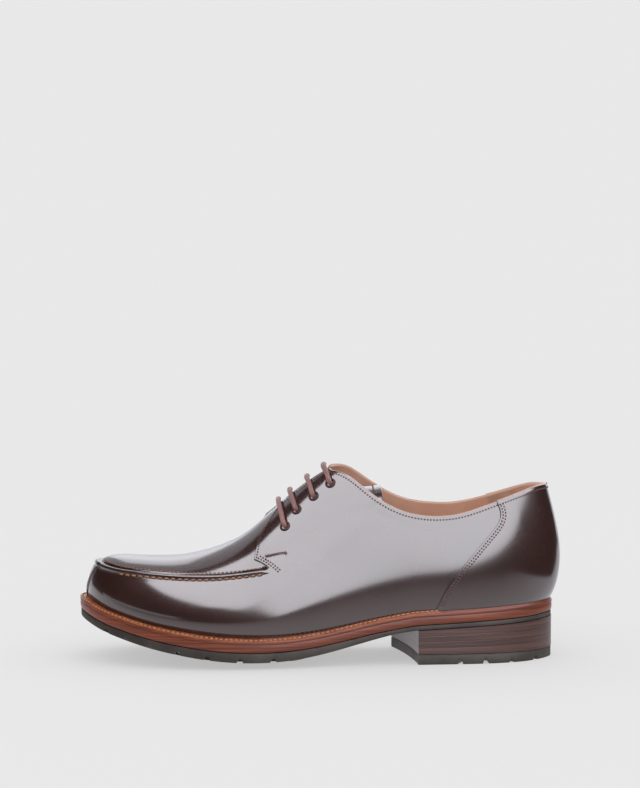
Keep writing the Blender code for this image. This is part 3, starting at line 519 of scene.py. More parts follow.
fine_thread = twisted("waxed_brown_thread", "#3a1819", "#5f3031", 0.5, 35, 0.55, 0.3)
rose_thread = twisted("waxed_rose_thread", "#6e3a32", "#a8705f", 0.6, 35, 0.5, 0.3)
apron_thread = twisted("waxed_copper_thread", "#7a4426", "#b8784c", 0.6, 35, 0.45, 0.35)
welt_thread = twisted("waxed_natural_thread", "#a05c36", "#cc8c62", 0.6, 35, 0.45, 0.35)
lace_braid = twisted("braided_waxed_lace", "#66403d", "#a3716c", 0.9, 38, 0.5, 0.6)

ENAMEL_WEAR_MM = 1.11
enamel, tree, shader = new_material("baked_brown_enamel", Roughness=0.6, Specular_IOR_Level=0.15)
toned(tree, shader, noise(tree, object_place(tree), 1000 / ENAMEL_WEAR_MM, 2.0), "#3a2422", "#4c322e")

# %% [markdown]
# ## The upper's panels
# Three leathers meet on each side. The flank runs from the toe along the side, becomes the
# quarter with the lace holes, and ends under the counter. The apron covers the top of the toes. Flank and
# apron are sewn edge to edge into a standing seam. Each panel is a grid on the last, lifted by its
# level, so the panels lie over each other as cut leather does.

# %% Seams and edges on the last
LINING, APRON_LEVEL, PANEL_LEVEL, COUNTER_LEVEL = -0.8, 0.5, 1.6, 2.5
SEAM_BAND = 4.2
APRON_SEAM = [
    Level(-146.8, 60.0),
    Level(-142.3, 58.8),
    Level(-131.4, 56.8),
    Level(-113.8, 55.2),
    Level(-88.0, 53.8),
    Level(-60.0, 54.6),
    Level(-28.0, 59.4),
]
SLIT_X, TAB_CORNER, TAB_EDGE = -32.2, Level(-41.0, 65.0), Level(-37.5, 78.0)
THROAT_X, THROAT_HALF_GAP = (-25.0, -33.0), 7.5  # by side
FACING_TOP_X, FACING_TOP_HALF_GAP = 6.0, 11.0
VAMP_END_X = -21.0
TOPLINE = [
    Level(6.0, 117.6),
    Level(12.0, 116.9),
    Level(18.0, 114.4),
    Level(28.0, 107.0),
    Level(42.0, 97.6),
    Level(58.0, 92.0),
    Level(72.0, 90.8),
    Level(86.0, 92.2),
    Level(98.0, 95.6),
    Level(112.0, 100.2),
    Level(128.0, 105.0),
    Level(138.4, 107.4),
    Level(144.2, 107.6),
]
MEDIAL_RISE = [
    Level(6.0, 1.4),
    Level(16.0, 3.4),
    Level(30.0, 5.0),
    Level(45.0, 4.8),
    Level(58.0, 3.8),
    Level(72.0, 2.8),
    Level(86.0, 1.0),
    Level(100.0, -0.8),
    Level(115.0, -1.6),
    Level(130.0, -1.0),
    Level(144.2, 0.0),
]
SeamPoint = namedtuple("SeamPoint", "share x")
COUNTER_SEAM = [
    SeamPoint(0.0, 71.0),
    SeamPoint(0.22, 78.0),
    SeamPoint(0.45, 89.6),
    SeamPoint(0.7, 103.8),
    SeamPoint(0.86, 110.8),
    SeamPoint(1.0, 109.6),
]
seam_z, topline_z, medial_rise = spline_of(APRON_SEAM), spline_of(TOPLINE), spline_of(MEDIAL_RISE)
counter_x = spline_of(COUNTER_SEAM, "share", "x")

# Cross-section of the standing seam: height over its middle line, and level over the last.
SeamLevel = namedtuple("SeamLevel", "offset level")
SEAM_PROFILE = [
    SeamLevel(-2.1, 1.6),
    SeamLevel(-1.75, 1.25),
    SeamLevel(-1.35, 1.7),
    SeamLevel(-0.93, 2.35),
    SeamLevel(-0.47, 2.62),
    SeamLevel(0.06, 2.55),
    SeamLevel(0.53, 2.05),
    SeamLevel(0.93, 1.0),
    SeamLevel(1.28, 0.15),
    SeamLevel(1.63, 0.2),
    SeamLevel(2.1, 0.5),
]
seam_level = spline_of(SEAM_PROFILE, "offset", "level")
WALL_ROWS, SEAM_ROWS, APRON_ROWS = 44, 30, 46
TOE_COLUMNS, TOE_CROWDING = 180, 1.7  # columns from toe tip to slit, crowded at the tip
TAB_ROWS, EDGE_ROWS = 16, 34
FACING_COLUMNS, COLLAR_COLUMNS, COUNTER_COLUMNS = 40, 70, 50

SLIT = float(station_at(SLIT_X))
toe_stations = SLIT * np.linspace(0, 1, TOE_COLUMNS + 1) ** TOE_CROWDING
seam_offsets = np.linspace(-0.5, 0.5, SEAM_ROWS + 1) * SEAM_BAND


def flank_rises(turn):
    """Rises of the flank's rows: equal shares up the wall, then equal heights over the seam."""
    seam = rise_at_height(turn, seam_z(outline_x(turn)) + seam_offsets[:, None])
    return np.concatenate([seam[:1] * np.linspace(0, 1, WALL_ROWS, endpoint=False)[:, None], seam])


# %% [markdown]
# ### The flank in front of the slit
# Below the apron the toe is split: left and right flank are joined in an upright seam that stands
# proud and leans to the lateral side. Its relief is a roll between two creases. The standing seam
# of the apron sinks back to the flank's own level at the slit, where it runs under the quarter's tab.
# Worn creases are soft troughs, placed one by one along short lines.

# %% Flank from the toe to the slit
SPLIT_ASIDE, SPLIT_ROLL, SPLIT_ROLL_WIDTH = 12.5, 1.0, 1.05
SPLIT_CREASE, SPLIT_CREASE_AT, SPLIT_CREASE_WIDTH = 0.5, 1.9, 0.45
SEAM_END = 5.0  # length over which the standing seam sinks at the slit
APRON_SETTLE = 8  # the apron sinks from the seam to its level over one share in so many
BAR_START, BAR_END = Level(-34.5, 66.6), Level(-23.0, 69.2)  # the stitched bar behind the tab's corner
Crease = namedtuple("Crease", "start end depth width")
CREASES = [
    Crease(Level(-34.5, 65.4), Level(-23.0, 68.0), 0.4, 1.5),
    Crease(Level(30.0, 95.0), Level(43.0, 90.0), 0.03, 2.2),
    Crease(Level(36.0, 92.0), Level(52.0, 86.5), 0.035, 2.4),
    Crease(Level(47.0, 86.5), Level(60.0, 83.0), 0.03, 2.1),
    Crease(Level(55.0, 82.5), Level(69.0, 80.5), 0.03, 2.2),
    Crease(Level(20.0, 92.0), Level(31.0, 89.0), 0.03, 2.2),
    Crease(Level(-19.0, 80.0), Level(-8.0, 78.0), 0.04, 2.2),
    Crease(Level(-12.0, 72.0), Level(2.0, 69.0), 0.04, 2.6),
]


def creased(turns, rises):
    """Relief of the creases: bell curves of the distance from their lines, seen from the side."""
    flat = last(turns, rises)[..., [0, 2]]
    relief = np.zeros(flat.shape[:-1])
    for crease in CREASES:
        start = np.array(crease.start)
        line = np.array(crease.end) - start
        share = np.clip((flat - start) @ line / (line @ line), 0, 1)
        distance = np.linalg.norm(flat - start - share[..., None] * line, axis=-1)
        relief = relief - crease.depth * np.exp(-((distance / crease.width) ** 2))
    return relief


def split_relief(turns, share):
    """Relief of the toe's slanting seam: a bell-shaped roll between two narrow creases."""
    from_tip = np.where(turns > LOOP_LENGTH / 2, turns - LOOP_LENGTH, turns)
    distance = np.abs(from_tip - SPLIT_ASIDE * share)
    roll = SPLIT_ROLL * np.exp(-((distance / SPLIT_ROLL_WIDTH) ** 2))
    return roll - SPLIT_CREASE * np.exp(-(((distance - SPLIT_CREASE_AT) / SPLIT_CREASE_WIDTH) ** 2))


def flank_front(side):
    """Turns, rises and levels of the flank in front of the slit, seam included."""
    turn = side_turn(toe_stations, side)
    rise = flank_rises(turn)
    turns = np.broadcast_to(turn, rise.shape)
    own = np.concatenate([np.full(WALL_ROWS, PANEL_LEVEL), seam_level(seam_offsets)])[:, None]
    sink = np.clip((SLIT - toe_stations) / SEAM_END, 0, 1)
    level = PANEL_LEVEL + (own - PANEL_LEVEL) * sink * sink * (3 - 2 * sink)
    fade = np.ones(len(level))
    fade[WALL_ROWS:] = np.linspace(1, 0, SEAM_ROWS + 1)
    share = np.minimum(np.arange(len(level)) / WALL_ROWS, 1)[:, None]
    return turns, rise, level + (split_relief(turns, share) + creased(turns, rise)) * fade[:, None]


def apron(side):
    """Turns, rises and levels of the apron: from the seam to the ridge, on under the tab."""
    q = np.linspace(0, 1, APRON_ROWS + 1)[:, None]
    reach = station_at(VAMP_END_X) / SLIT
    stations = toe_stations * (1 + (reach - 1) * q)
    turns = side_turn(stations, side)
    seam_top = rise_at_height(turns, seam_z(outline_x(turns)) + SEAM_BAND / 2)
    first = flank_front(side)[2][-1]
    level = APRON_LEVEL + (first - APRON_LEVEL) * np.clip(1 - q * APRON_SETTLE, 0, 1) ** 2
    return turns, seam_top + (1 - seam_top) * q, level


# %% [markdown]
# ### Quarter and counter
# The quarter is bounded by four curves: the tab's edge, the counter's edge, the feather edge and
# the topline. A Coons patch fills them: it adds the two ruled surfaces and takes
# away the bilinear one that both contain.


# %% Quarter and counter
def legs(points, counts):
    """Points along a polyline whose legs are split into their own number of equal steps."""
    parts = [
        a + (b - a) * np.linspace(0, 1, n, endpoint=False)[:, None]
        for a, b, n in zip(points[:-1], points[1:], counts)
    ]
    return np.concatenate([*parts, points[-1:]])


def on_side(level, side):
    """Station and rise of a place that is given by section x and height."""
    turn = turn_at(level.x, side)
    return np.array([station_at(level.x), rise_at_height(turn, level.z)])


def tab_edge(side):
    """Front edge of the quarter: up the slit, out to the tab's corner and up to the throat."""
    rises = flank_rises(np.atleast_1d(side_turn(SLIT, side)))[:, 0]
    slit = np.stack([np.full(len(rises), SLIT), rises], -1)
    throat = np.array(
        [station_at(THROAT_X[side]), rise_at_gap(turn_at(THROAT_X[side], side), THROAT_HALF_GAP)]
    )
    knots = np.array([slit[-1], on_side(TAB_CORNER, side), on_side(TAB_EDGE, side), throat])
    return np.concatenate([slit[:-1], legs(knots, (TAB_ROWS, EDGE_ROWS // 2, EDGE_ROWS // 2))])


def collar_rise(stations, side):
    """Rise of the topline, higher on the medial side towards the front and lower towards the back."""
    x = outline_x(stations)
    lift = medial_rise(x) if side == MEDIAL else 0
    return rise_at_height(side_turn(stations, side), topline_z(x) + lift)


QUARTER_ROWS = WALL_ROWS + SEAM_ROWS + TAB_ROWS + EDGE_ROWS // 2 * 2 + 1


def counter_edge(side):
    """Front edge of the counter: its x by share of the way from feather edge to topline."""
    shares = np.linspace(0, 1, QUARTER_ROWS)
    stations = station_at(counter_x(shares))
    turns = side_turn(stations, side)
    low = feather_z(outline_x(turns))
    top = last(turns[-1], collar_rise(stations[-1], side))[2]
    return np.stack([stations, rise_at_height(turns, low + (top - low) * shares)], -1)


def quarter_top(side):
    """Top edge of the quarter: up the throat, round the facing's corner and along the collar."""
    shares = np.linspace(0, 1, FACING_COLUMNS + 1)
    gaps = THROAT_HALF_GAP + (FACING_TOP_HALF_GAP - THROAT_HALF_GAP) * shares
    stations = station_at(THROAT_X[side] + (FACING_TOP_X - THROAT_X[side]) * shares)
    throat = np.stack([stations, rise_at_gap(side_turn(stations, side), gaps)], -1)
    end = counter_edge(side)[-1, 0]
    stations = stations[-1] + (end - stations[-1]) * np.linspace(0, 1, COLLAR_COLUMNS + 1)[1:]
    return np.concatenate([throat, np.stack([stations, collar_rise(stations, side)], -1)])


def coons(left, right, bottom, top):
    """Grid inside four edges: sum of the two ruled grids less the bilinear one of the corners."""
    f = np.linspace(0, 1, len(bottom))[None, :, None]
    g = np.linspace(0, 1, len(left))[:, None, None]
    ruled = (1 - f) * left[:, None] + f * right[:, None] + (1 - g) * bottom[None] + g * top[None]
    corners = (1 - f) * ((1 - g) * bottom[0] + g * top[0]) + f * ((1 - g) * bottom[-1] + g * top[-1])
    return ruled - corners


def quarter(side):
    """Stations and rises of the quarter with its facing, from the tab's edge to the counter."""
    left, right, top = tab_edge(side), counter_edge(side), quarter_top(side)
    bottom = left[0] + (right[0] - left[0]) * np.linspace(0, 1, len(top))[:, None]
    return coons(left, right, bottom, top)


def counter(side):
    """Stations and rises of the counter, from its front edge to the back of the heel."""
    left, shares = counter_edge(side), np.linspace(0, 1, COUNTER_COLUMNS + 1)
    stations = left[-1, 0] + (HEEL_KNOT - left[-1, 0]) * shares
    top = np.stack([stations, collar_rise(stations, side)], -1)
    bottom = np.stack([left[0, 0] + (HEEL_KNOT - left[0, 0]) * shares, 0 * shares], -1)
    heights = np.linspace(feather_z(outline_x(HEEL_KNOT)), last(HEEL_KNOT, top[-1, 1])[2], len(left))
    right = np.stack([np.full(len(left), HEEL_KNOT), rise_at_height(HEEL_KNOT, heights)], -1)
    return coons(left, right, bottom, top)


print("quarter grid:", quarter(LATERAL).shape, "counter grid:", counter(LATERAL).shape)

# %% [markdown]
# ### Cut and folded edges
# Leather has thickness, and light catches its edges. An edge is a profile carried along a curve
# on the last: a quarter round where one panel lies on another, a half round where the wall ends
# in the open. The profile stands on the curve's own normal and on the direction away from the panel.


# %% Edge profiles
EDGE_STEPS = 6


def curve_frame(side, route, level, away):
    """Points of a route on the last, with tangents, normals and the side that points away."""
    turns, rises = side_turn(route[:, 0], side), route[:, 1]
    points, normals = off_last(turns, rises, level), last_normal(turns, rises)
    tangents = unit(np.gradient(points, axis=0))
    aside = unit(np.cross(tangents, normals))
    hand = 1 if side == LATERAL else -1
    return points, tangents, normals, aside * (hand * away)


def cut_edge(side, route, level, depth, away, radius=0.35):
    """Quarter round from a panel's face, then straight down by depth: rows are profile points."""
    points, _, normals, aside = curve_frame(side, route, level, away)
    angles = np.linspace(0, np.pi / 2, EDGE_STEPS)[:, None, None]
    rounded = points + radius * (np.sin(angles) * aside - (1 - np.cos(angles)) * normals)
    return np.concatenate([rounded, (rounded[-1] - normals * (depth - radius))[None]])


def lip(side, route, outer, inner, away):
    """Half round between the wall's two faces: centre plus half its thickness round half a turn."""
    points, _, normals, aside = curve_frame(side, route, (outer + inner) / 2, away)
    angles = np.linspace(0, np.pi, 2 * EDGE_STEPS + 1)[:, None, None]
    return points + (outer - inner) / 2 * (np.cos(angles) * normals + np.sin(angles) * aside)


# %% The upper's leather
SKIRT = 0.6  # the leather is drawn in below the feather edge
PALE_HIGHLIGHT_ROWS = (2, 9)  # rows on top of the collar's half round: the pale folded edge with a painted highlight
TAB_DEPTH, COUNTER_DEPTH = 1.6, 1.2  # how far the cut edges go down


def with_skirt(grid):
    """Adds a row under a panel's foot, so that no light passes between upper and welt."""
    return np.concatenate([grid[:1] - (0, 0, SKIRT), grid])


leather_grids, lining_grids, edge_grids, grip_grids, pale_rim_highlight_grids = [], [], [], [], []
for side in SIDES:
    over = side == MEDIAL
    turns, rises, levels = flank_front(side)
    leather_grids.append((with_skirt(off_last(turns, rises, levels)), over))
    lining_grids.append((off_last(turns, rises, LINING), not over))
    turns, rises, levels = apron(side)
    leather_grids.append((off_last(turns, rises, levels), over))
    lining_grids.append((off_last(turns, rises, LINING), not over))
    sheet = quarter(side)
    turns, rises = side_turn(sheet[..., 0], side), sheet[..., 1]
    level = PANEL_LEVEL + creased(turns, rises)
    leather_grids.append((with_skirt(off_last(turns, rises, level)), over))
    lining_grids.append((off_last(turns, rises, LINING), not over))
    sheet = counter(side)
    turns, rises = side_turn(sheet[..., 0], side), sheet[..., 1]
    leather_grids.append((with_skirt(off_last(turns, rises, COUNTER_LEVEL)), over))
    grip_grids.append((off_last(turns, rises, LINING), not over))
    tab, top = tab_edge(side)[WALL_ROWS + SEAM_ROWS :], quarter_top(side)
    edge_grids.append((cut_edge(side, tab, PANEL_LEVEL, TAB_DEPTH, -1), not over))
    edge_grids.append((cut_edge(side, counter_edge(side), COUNTER_LEVEL, COUNTER_DEPTH, -1), not over))
    rim = lip(side, top, PANEL_LEVEL, LINING, -1)
    edge_grids.append((rim[:, : FACING_COLUMNS + 1], over))
    # The top rows of the collar's half round get the pale leather, a folded edge with a painted highlight;
    # below them the rim turns into lining.
    for rim in (rim[:, FACING_COLUMNS:], lip(side, counter(side)[-1], COUNTER_LEVEL, LINING, -1)):
        edge_grids.append((rim[: PALE_HIGHLIGHT_ROWS[0] + 1], over))
        pale_rim_highlight_grids.append((rim[PALE_HIGHLIGHT_ROWS[0] : PALE_HIGHLIGHT_ROWS[1] + 1], over))
        lining_grids.append((rim[PALE_HIGHLIGHT_ROWS[1] :], over))
make_piece(
    "upper_leather", leather_grids + edge_grids, calf, ["upper"], sharp=60
)
make_piece("upper_lining", lining_grids, lining_leather)
make_piece("heel_grip", grip_grids, heel_grip_leather)
# The pale collar rim, with its painted highlight along the top.
make_piece("collar_edge_and_painted_highlight", pale_rim_highlight_grids, pale_rim_and_highlight_leather)

# %% [markdown]
# ## Sole and heel
# Under the upper lie welt, midsole and outsole, all cut to one outline that stands a few millimetres
# out of the feather edge. Each is a profile carried along the outline. A profile point is an offset
# from the feather edge, a share of the way in to the sole's middle line, and a height. The two
# sides share the middle line, so the plates are closed.

# %% Sizes of the sole
GAP, WELT_THICKNESS, WELT_SLOPE, WELT_INSIDE, WELT_CREST = 0.3, 3.4, 1.5, 2.2, 2.0
MIDSOLE_THICKNESS, MIDSOLE_INSET, OUTSOLE_INSET = 4.8, 0.3, 0.6
OUTSOLE_EDGE = [
    Level(-152.0, 4.6),
    Level(-100.0, 5.4),
    Level(-45.0, 6.0),
    Level(0.0, 5.0),
    Level(45.0, 2.8),
]
OUTSOLE_CAMBER, CAMBER_FADE, CAMBER_SHARE = 5.2, 60.0, 0.56
FOREPART_GROOVES = (-133.0, -120.5, -106.0, -88.5, -70.5, -50.5, -30.0)
HEEL_GROOVES = (85.7, 101.8, 118.7, 134.6)
GROOVE_WIDTH, GROOVE_DEPTH, GROOVE_SLANT = 2.8, 2.2, 0.5
SOLE_COLUMNS = 620
outsole_edge = spline_of(OUTSOLE_EDGE)
sole_stations = HEEL_KNOT * (1 - np.cos(np.linspace(0, np.pi, SOLE_COLUMNS + 1))) / 2


def midsole_top(x):
    """Upper face of the midsole: the feather edge less the welt and two gaps."""
    return feather_z(x) - WELT_THICKNESS - 2 * GAP


def outsole_top(x):
    """Upper face of the outsole: the midsole's less its thickness and a gap."""
    return midsole_top(x) - MIDSOLE_THICKNESS - GAP


def outsole_rim(x):
    """Lower edge of the outsole: its top less the rim's thickness."""
    return outsole_top(x) - outsole_edge(np.clip(x, OUTSOLE_EDGE[0].x, OUTSOLE_EDGE[-1].x))


def tread_floor(x):
    """Lowest face of the tread: the rim less its camber, but never under the floor."""
    fade = np.clip((OUTSOLE_EDGE[-1].x - x) / CAMBER_FADE, 0, 1)
    return np.maximum(outsole_rim(x) - OUTSOLE_CAMBER * fade, 0)


def notch(x, centres):
    """1 inside a tread groove and 0 outside it, with steep ends."""
    distance = np.min(np.abs(np.asarray(x)[..., None] - np.array(centres)), axis=-1)
    return np.clip((GROOVE_WIDTH / 2 + GROOVE_SLANT / 2 - distance) / GROOVE_SLANT, 0, 1)


def sole_plate(side, profile):
    """Grid of a plate: rows are profile points (offset, share inwards, height as a function of x)."""
    turns = side_turn(sole_stations, side)
    edge = np.stack([outline_x(turns), outline_y(turns)], -1)
    axis_x = ridge_x_of(turns)
    axis = np.stack([axis_x, ridge_y(axis_x)], -1)
    rows = []
    for offset, share, height in profile:
        plan = edge + outward(turns) * np.broadcast_to(offset(turns), turns.shape)[:, None]
        plan = plan + (axis - plan) * share
        rows.append(np.column_stack([plan, height(plan[:, 0])]))
    return np.array(rows)


def from_welt(inset):
    """Offset from the feather edge of an outline that lies inside the welt's."""
    return lambda turns: welt_of(turns) - inset


def at(offset):
    """The same offset from the feather edge all round."""
    return lambda turns: np.full_like(turns, offset)


def below_feather(drop):
    """Height at a drop under the feather edge."""
    return lambda x: feather_z(x) - drop


# %% Welt, midsole and insole
welt_profile = [
    (at(-WELT_INSIDE), 0, below_feather(GAP + WELT_THICKNESS)),
    (from_welt(0.3), 0, below_feather(GAP + WELT_THICKNESS)),
    (from_welt(0.06), 0, below_feather(GAP + WELT_THICKNESS - 0.08)),
    (from_welt(0.0), 0, below_feather(GAP + WELT_THICKNESS - 0.25)),
    (from_welt(0.0), 0, below_feather(GAP + WELT_SLOPE + 0.5)),
    (from_welt(0.15), 0, below_feather(GAP + WELT_SLOPE + 0.15)),
    (from_welt(0.6), 0, below_feather(GAP + WELT_SLOPE - 0.1)),
    (at(WELT_CREST), 0, below_feather(GAP)),
    (at(-WELT_INSIDE), 0, below_feather(GAP)),
    (at(-WELT_INSIDE), 0, below_feather(GAP + WELT_THICKNESS)),
]
midsole_profile = [
    (from_welt(MIDSOLE_INSET), 1, lambda x: midsole_top(x) - MIDSOLE_THICKNESS),
    (from_welt(MIDSOLE_INSET + 0.9), 0, lambda x: midsole_top(x) - MIDSOLE_THICKNESS),
    (from_welt(MIDSOLE_INSET + 0.25), 0, lambda x: midsole_top(x) - MIDSOLE_THICKNESS + 0.2),
    (from_welt(MIDSOLE_INSET - 0.05), 0, lambda x: midsole_top(x) - MIDSOLE_THICKNESS + 0.8),
    (from_welt(MIDSOLE_INSET - 0.25), 0, lambda x: midsole_top(x) - MIDSOLE_THICKNESS / 2),
    (from_welt(MIDSOLE_INSET - 0.15), 0, lambda x: midsole_top(x) - 0.3),
    (from_welt(MIDSOLE_INSET - 0.05), 0, lambda x: midsole_top(x) + 0.12),
    (from_welt(MIDSOLE_INSET + 0.3), 0, lambda x: midsole_top(x) + 0.22),
    (from_welt(MIDSOLE_INSET), 1, midsole_top),
]
INSOLE_RISE, INSOLE_INSIDE = 1.6, 2.9
insole_profile = [
    (at(-INSOLE_INSIDE), 1, lambda x: midsole_top(x) + GAP),
    (at(-INSOLE_INSIDE), 0, lambda x: midsole_top(x) + GAP),
    (at(-INSOLE_INSIDE), 0, lambda x: feather_z(x) + INSOLE_RISE - 0.5),
    (at(-INSOLE_INSIDE - 0.6), 0, lambda x: feather_z(x) + INSOLE_RISE - 0.1),
    (at(-INSOLE_INSIDE), 0.12, lambda x: feather_z(x) + INSOLE_RISE),
    (at(-INSOLE_INSIDE), 0.5, lambda x: feather_z(x) + INSOLE_RISE),
    (at(-INSOLE_INSIDE), 1, lambda x: feather_z(x) + INSOLE_RISE),
]


def both_sides(profile):
    """A plate's grids for both sides, the medial one turned over."""
    return [(sole_plate(side, profile), side == MEDIAL) for side in SIDES]


WELT_EDGE_POINTS = 6  # profile points of the underside and the stained edge
RAND_X = 73.0  # behind it the welt goes on as the heel's stained rand
rand = int(np.searchsorted(sole_stations, station_at(RAND_X)))
welt_top = both_sides(welt_profile[WELT_EDGE_POINTS - 1 :])
welt_rand = [(grid[:, rand:], over) for grid, over in welt_top]
make_piece(
    "welt_strip",
    [(grid[:, : rand + 1], over) for grid, over in welt_top],
    welt_leather,
    ["welt"],
    sharp=50,
)
make_piece(
    "welt_edge", both_sides(welt_profile[:WELT_EDGE_POINTS]) + welt_rand, sole_edge, sharp=50
)
make_piece(
    "midsole_plate", both_sides(midsole_profile), sole_edge, ["midsole"], sharp=50
)
make_piece(
    "sock", both_sides(insole_profile), lining_leather, ["insole"], sharp=50
)


# %% [markdown]
# ### Outsole
# The rubber's rim is cut by grooves that show on the side as small notches between blocks. A groove
# lifts the lower rows of the profile by its depth, and the columns are close enough to make its ends steep.

# %% Outsole with its lugs
def rim_with_grooves(x):
    """Lower edge of the rim, lifted in the grooves by their depth."""
    return outsole_rim(x) + GROOVE_DEPTH * notch(x, FOREPART_GROOVES)


def tread_with_grooves(x):
    """Tread inside the rim, lifted in the grooves to the height that they have at the rim."""
    lift = (outsole_rim(x) + GROOVE_DEPTH - tread_floor(x)) * notch(x, FOREPART_GROOVES)
    return tread_floor(x) + lift


outsole_profile = [
    (from_welt(OUTSOLE_INSET), 1, tread_floor),
    (from_welt(OUTSOLE_INSET), CAMBER_SHARE, tread_floor),
    (from_welt(OUTSOLE_INSET), CAMBER_SHARE, tread_with_grooves),
    (from_welt(OUTSOLE_INSET + 0.5), 0, rim_with_grooves),
    (from_welt(OUTSOLE_INSET + 0.1), 0, lambda x: rim_with_grooves(x) + 0.15),
    (from_welt(OUTSOLE_INSET), 0, lambda x: rim_with_grooves(x) + 0.5),
    (from_welt(OUTSOLE_INSET), 0, lambda x: outsole_top(x) - 0.5),
    (from_welt(OUTSOLE_INSET + 0.15), 0, lambda x: outsole_top(x) - 0.15),
    (from_welt(OUTSOLE_INSET + 0.6), 0, outsole_top),
    (from_welt(OUTSOLE_INSET), 1, outsole_top),
]
make_piece(
    "outsole_rubber", both_sides(outsole_profile), rubber, ["outsole"], sharp=40
)

# %% [markdown]
# ### Heel
# Leather lifts are nailed in a stack, trimmed to one face, stained and waxed. Between the lifts fine lines
# stay visible. The heel is a ring of plan points, round the back and across the breast, carried up in rows.
# The rubber top piece below has grooves like the sole's.

# %% Heel stack and top piece
BREAST_LATERAL_X, BREAST_MEDIAL_X, BREAST_HOLLOW = 59.5, 47.5, 2.0
LIFTS, TOP_PIECE_THICKNESS, HEEL_INSET, TOP_PIECE_INSET = 4, 6.3, 0.3, 0.6
HEEL_COLUMNS, BREAST_COLUMNS = 320, 40
LIFT_LINE_DEPTH, LIFT_LINE_WIDTH, HEEL_ROWS = 0.05, 0.3, 120
STACK_HEIGHT = 16.0  # about, it sets only the width of the lines
TOP_PIECE_RIM, RIM_SLANT = 11.0, 0.1  # width of its grooved rim, and the slant of the grooves' ends


def heel_ring(inset):
    """Plan of the heel: the outline from one breast corner round to the other, then the breast."""
    ends = [turn_at(BREAST_LATERAL_X, LATERAL), turn_at(BREAST_MEDIAL_X, MEDIAL)]
    turns = np.linspace(ends[0], ends[1], HEEL_COLUMNS)
    back = np.stack([outline_x(turns), outline_y(turns)], -1)
    back = back + outward(turns) * (welt_of(turns) - inset)[:, None]
    shares = np.linspace(0, 1, BREAST_COLUMNS)[1:-1, None]
    breast = back[-1] + (back[0] - back[-1]) * shares
    breast[:, 0] += BREAST_HOLLOW * 4 * shares[:, 0] * (1 - shares[:, 0])
    return np.concatenate([back, breast])


def heel_seat(x):
    """Top of the stack: the outsole's top less its thickness at the heel and a gap."""
    return outsole_top(x) - OUTSOLE_EDGE[-1].z - GAP


def ring_rows(plan, rows):
    """Grid of rings: each row moves the plan inwards by a distance or a share and sets its height."""
    centre = plan.mean(axis=0)
    inward = unit(centre - plan)
    made = []
    for distance, share, height in rows:
        moved = plan + inward * distance
        moved = moved + (centre - moved) * share
        made.append(np.column_stack([moved, height(moved[:, 0])]))
    return closed(np.array(made))


def lift_relief(share):
    """Depth of the lines between the lifts: narrow bell curves at equal shares of the height."""
    lines = np.arange(1, LIFTS) / LIFTS
    spread = LIFT_LINE_WIDTH / STACK_HEIGHT
    return LIFT_LINE_DEPTH * np.exp(-(((share - lines) / spread) ** 2)).sum()


STACK_FLOOR = TOP_PIECE_THICKNESS + GAP


def stack_height(share):
    """Height in the stack, as a function of x: a share of the way from its floor to the heel seat."""
    return lambda x: STACK_FLOOR + (heel_seat(x) - STACK_FLOOR) * share


stack_rows = [(lift_relief(share), 0, stack_height(share)) for share in np.linspace(0, 1, HEEL_ROWS)]
stack_rows = [(0, 1, stack_height(0)), *stack_rows, (0, 1, heel_seat)]
make_piece(
    "heel_stack",
    [ring_rows(heel_ring(HEEL_INSET), stack_rows)],
    heel_stack_leather,
    [f"heel_lift_{number + 1}" for number in range(LIFTS)],
    sharp=45,
)


def heel_rim(x):
    """Lower edge of the top piece: the floor, lifted in the grooves."""
    return GROOVE_DEPTH * notch(x, HEEL_GROOVES)


top_piece_rows = [
    (0, 1, np.zeros_like),
    (TOP_PIECE_RIM, 0, np.zeros_like),
    (TOP_PIECE_RIM - RIM_SLANT, 0, heel_rim),
    (0.5, 0, heel_rim),
    (0.1, 0, lambda x: heel_rim(x) + 0.15),
    (0.0, 0, lambda x: heel_rim(x) + 0.5),
    (0.0, 0, lambda x: np.full_like(x, TOP_PIECE_THICKNESS - 0.4)),
    (0.3, 0, lambda x: np.full_like(x, TOP_PIECE_THICKNESS)),
    (0, 1, lambda x: np.full_like(x, TOP_PIECE_THICKNESS)),
]
make_piece(
    "heel_top_rubber",
    [ring_rows(heel_ring(TOP_PIECE_INSET), top_piece_rows)],
    rubber,
    ["heel_top_piece"],
    sharp=40,
)

# %% [markdown]
# ## Tongue
# The tongue follows the last under the facings and then lies free, a little lower, to its end.
# It is a middle surface with a thickness that falls to nothing at the rim as a circle
# does, so its edge is round and top and bottom close on each other.

# %% Tongue
TONGUE_START_X, TONGUE_CLEARANCE, TONGUE_HALF_WIDTH, TONGUE_THICKNESS = -34.0, 4.8, 21.0, 1.7
TONGUE_LINE = [
    Level(0.0, 112.2),
    Level(7.0, 113.6),
    Level(16.0, 110.8),
    Level(28.0, 107.6),
    Level(38.5, 108.6),
]
tongue_line = spline_of(TONGUE_LINE)
TONGUE_ROWS, TONGUE_COLUMNS = 110, 61
TOP_RISES = np.linspace(0.2, 1, 80)


def last_top(x, y):
    """Heights of the last's top across one section: its points in order of y, read off at y."""
    section = np.concatenate([last(turn_at(x, side), TOP_RISES) for side in SIDES])
    order = np.argsort(section[:, 1])
    return np.interp(y, section[order, 1], section[order, 2])


def rim_share(distance, radius):
    """Share of the full thickness near a rim: the height of a quarter circle of that radius."""
    return np.sqrt(np.clip(1 - np.clip(1 - distance / radius, 0, 1) ** 2, 0, 1))


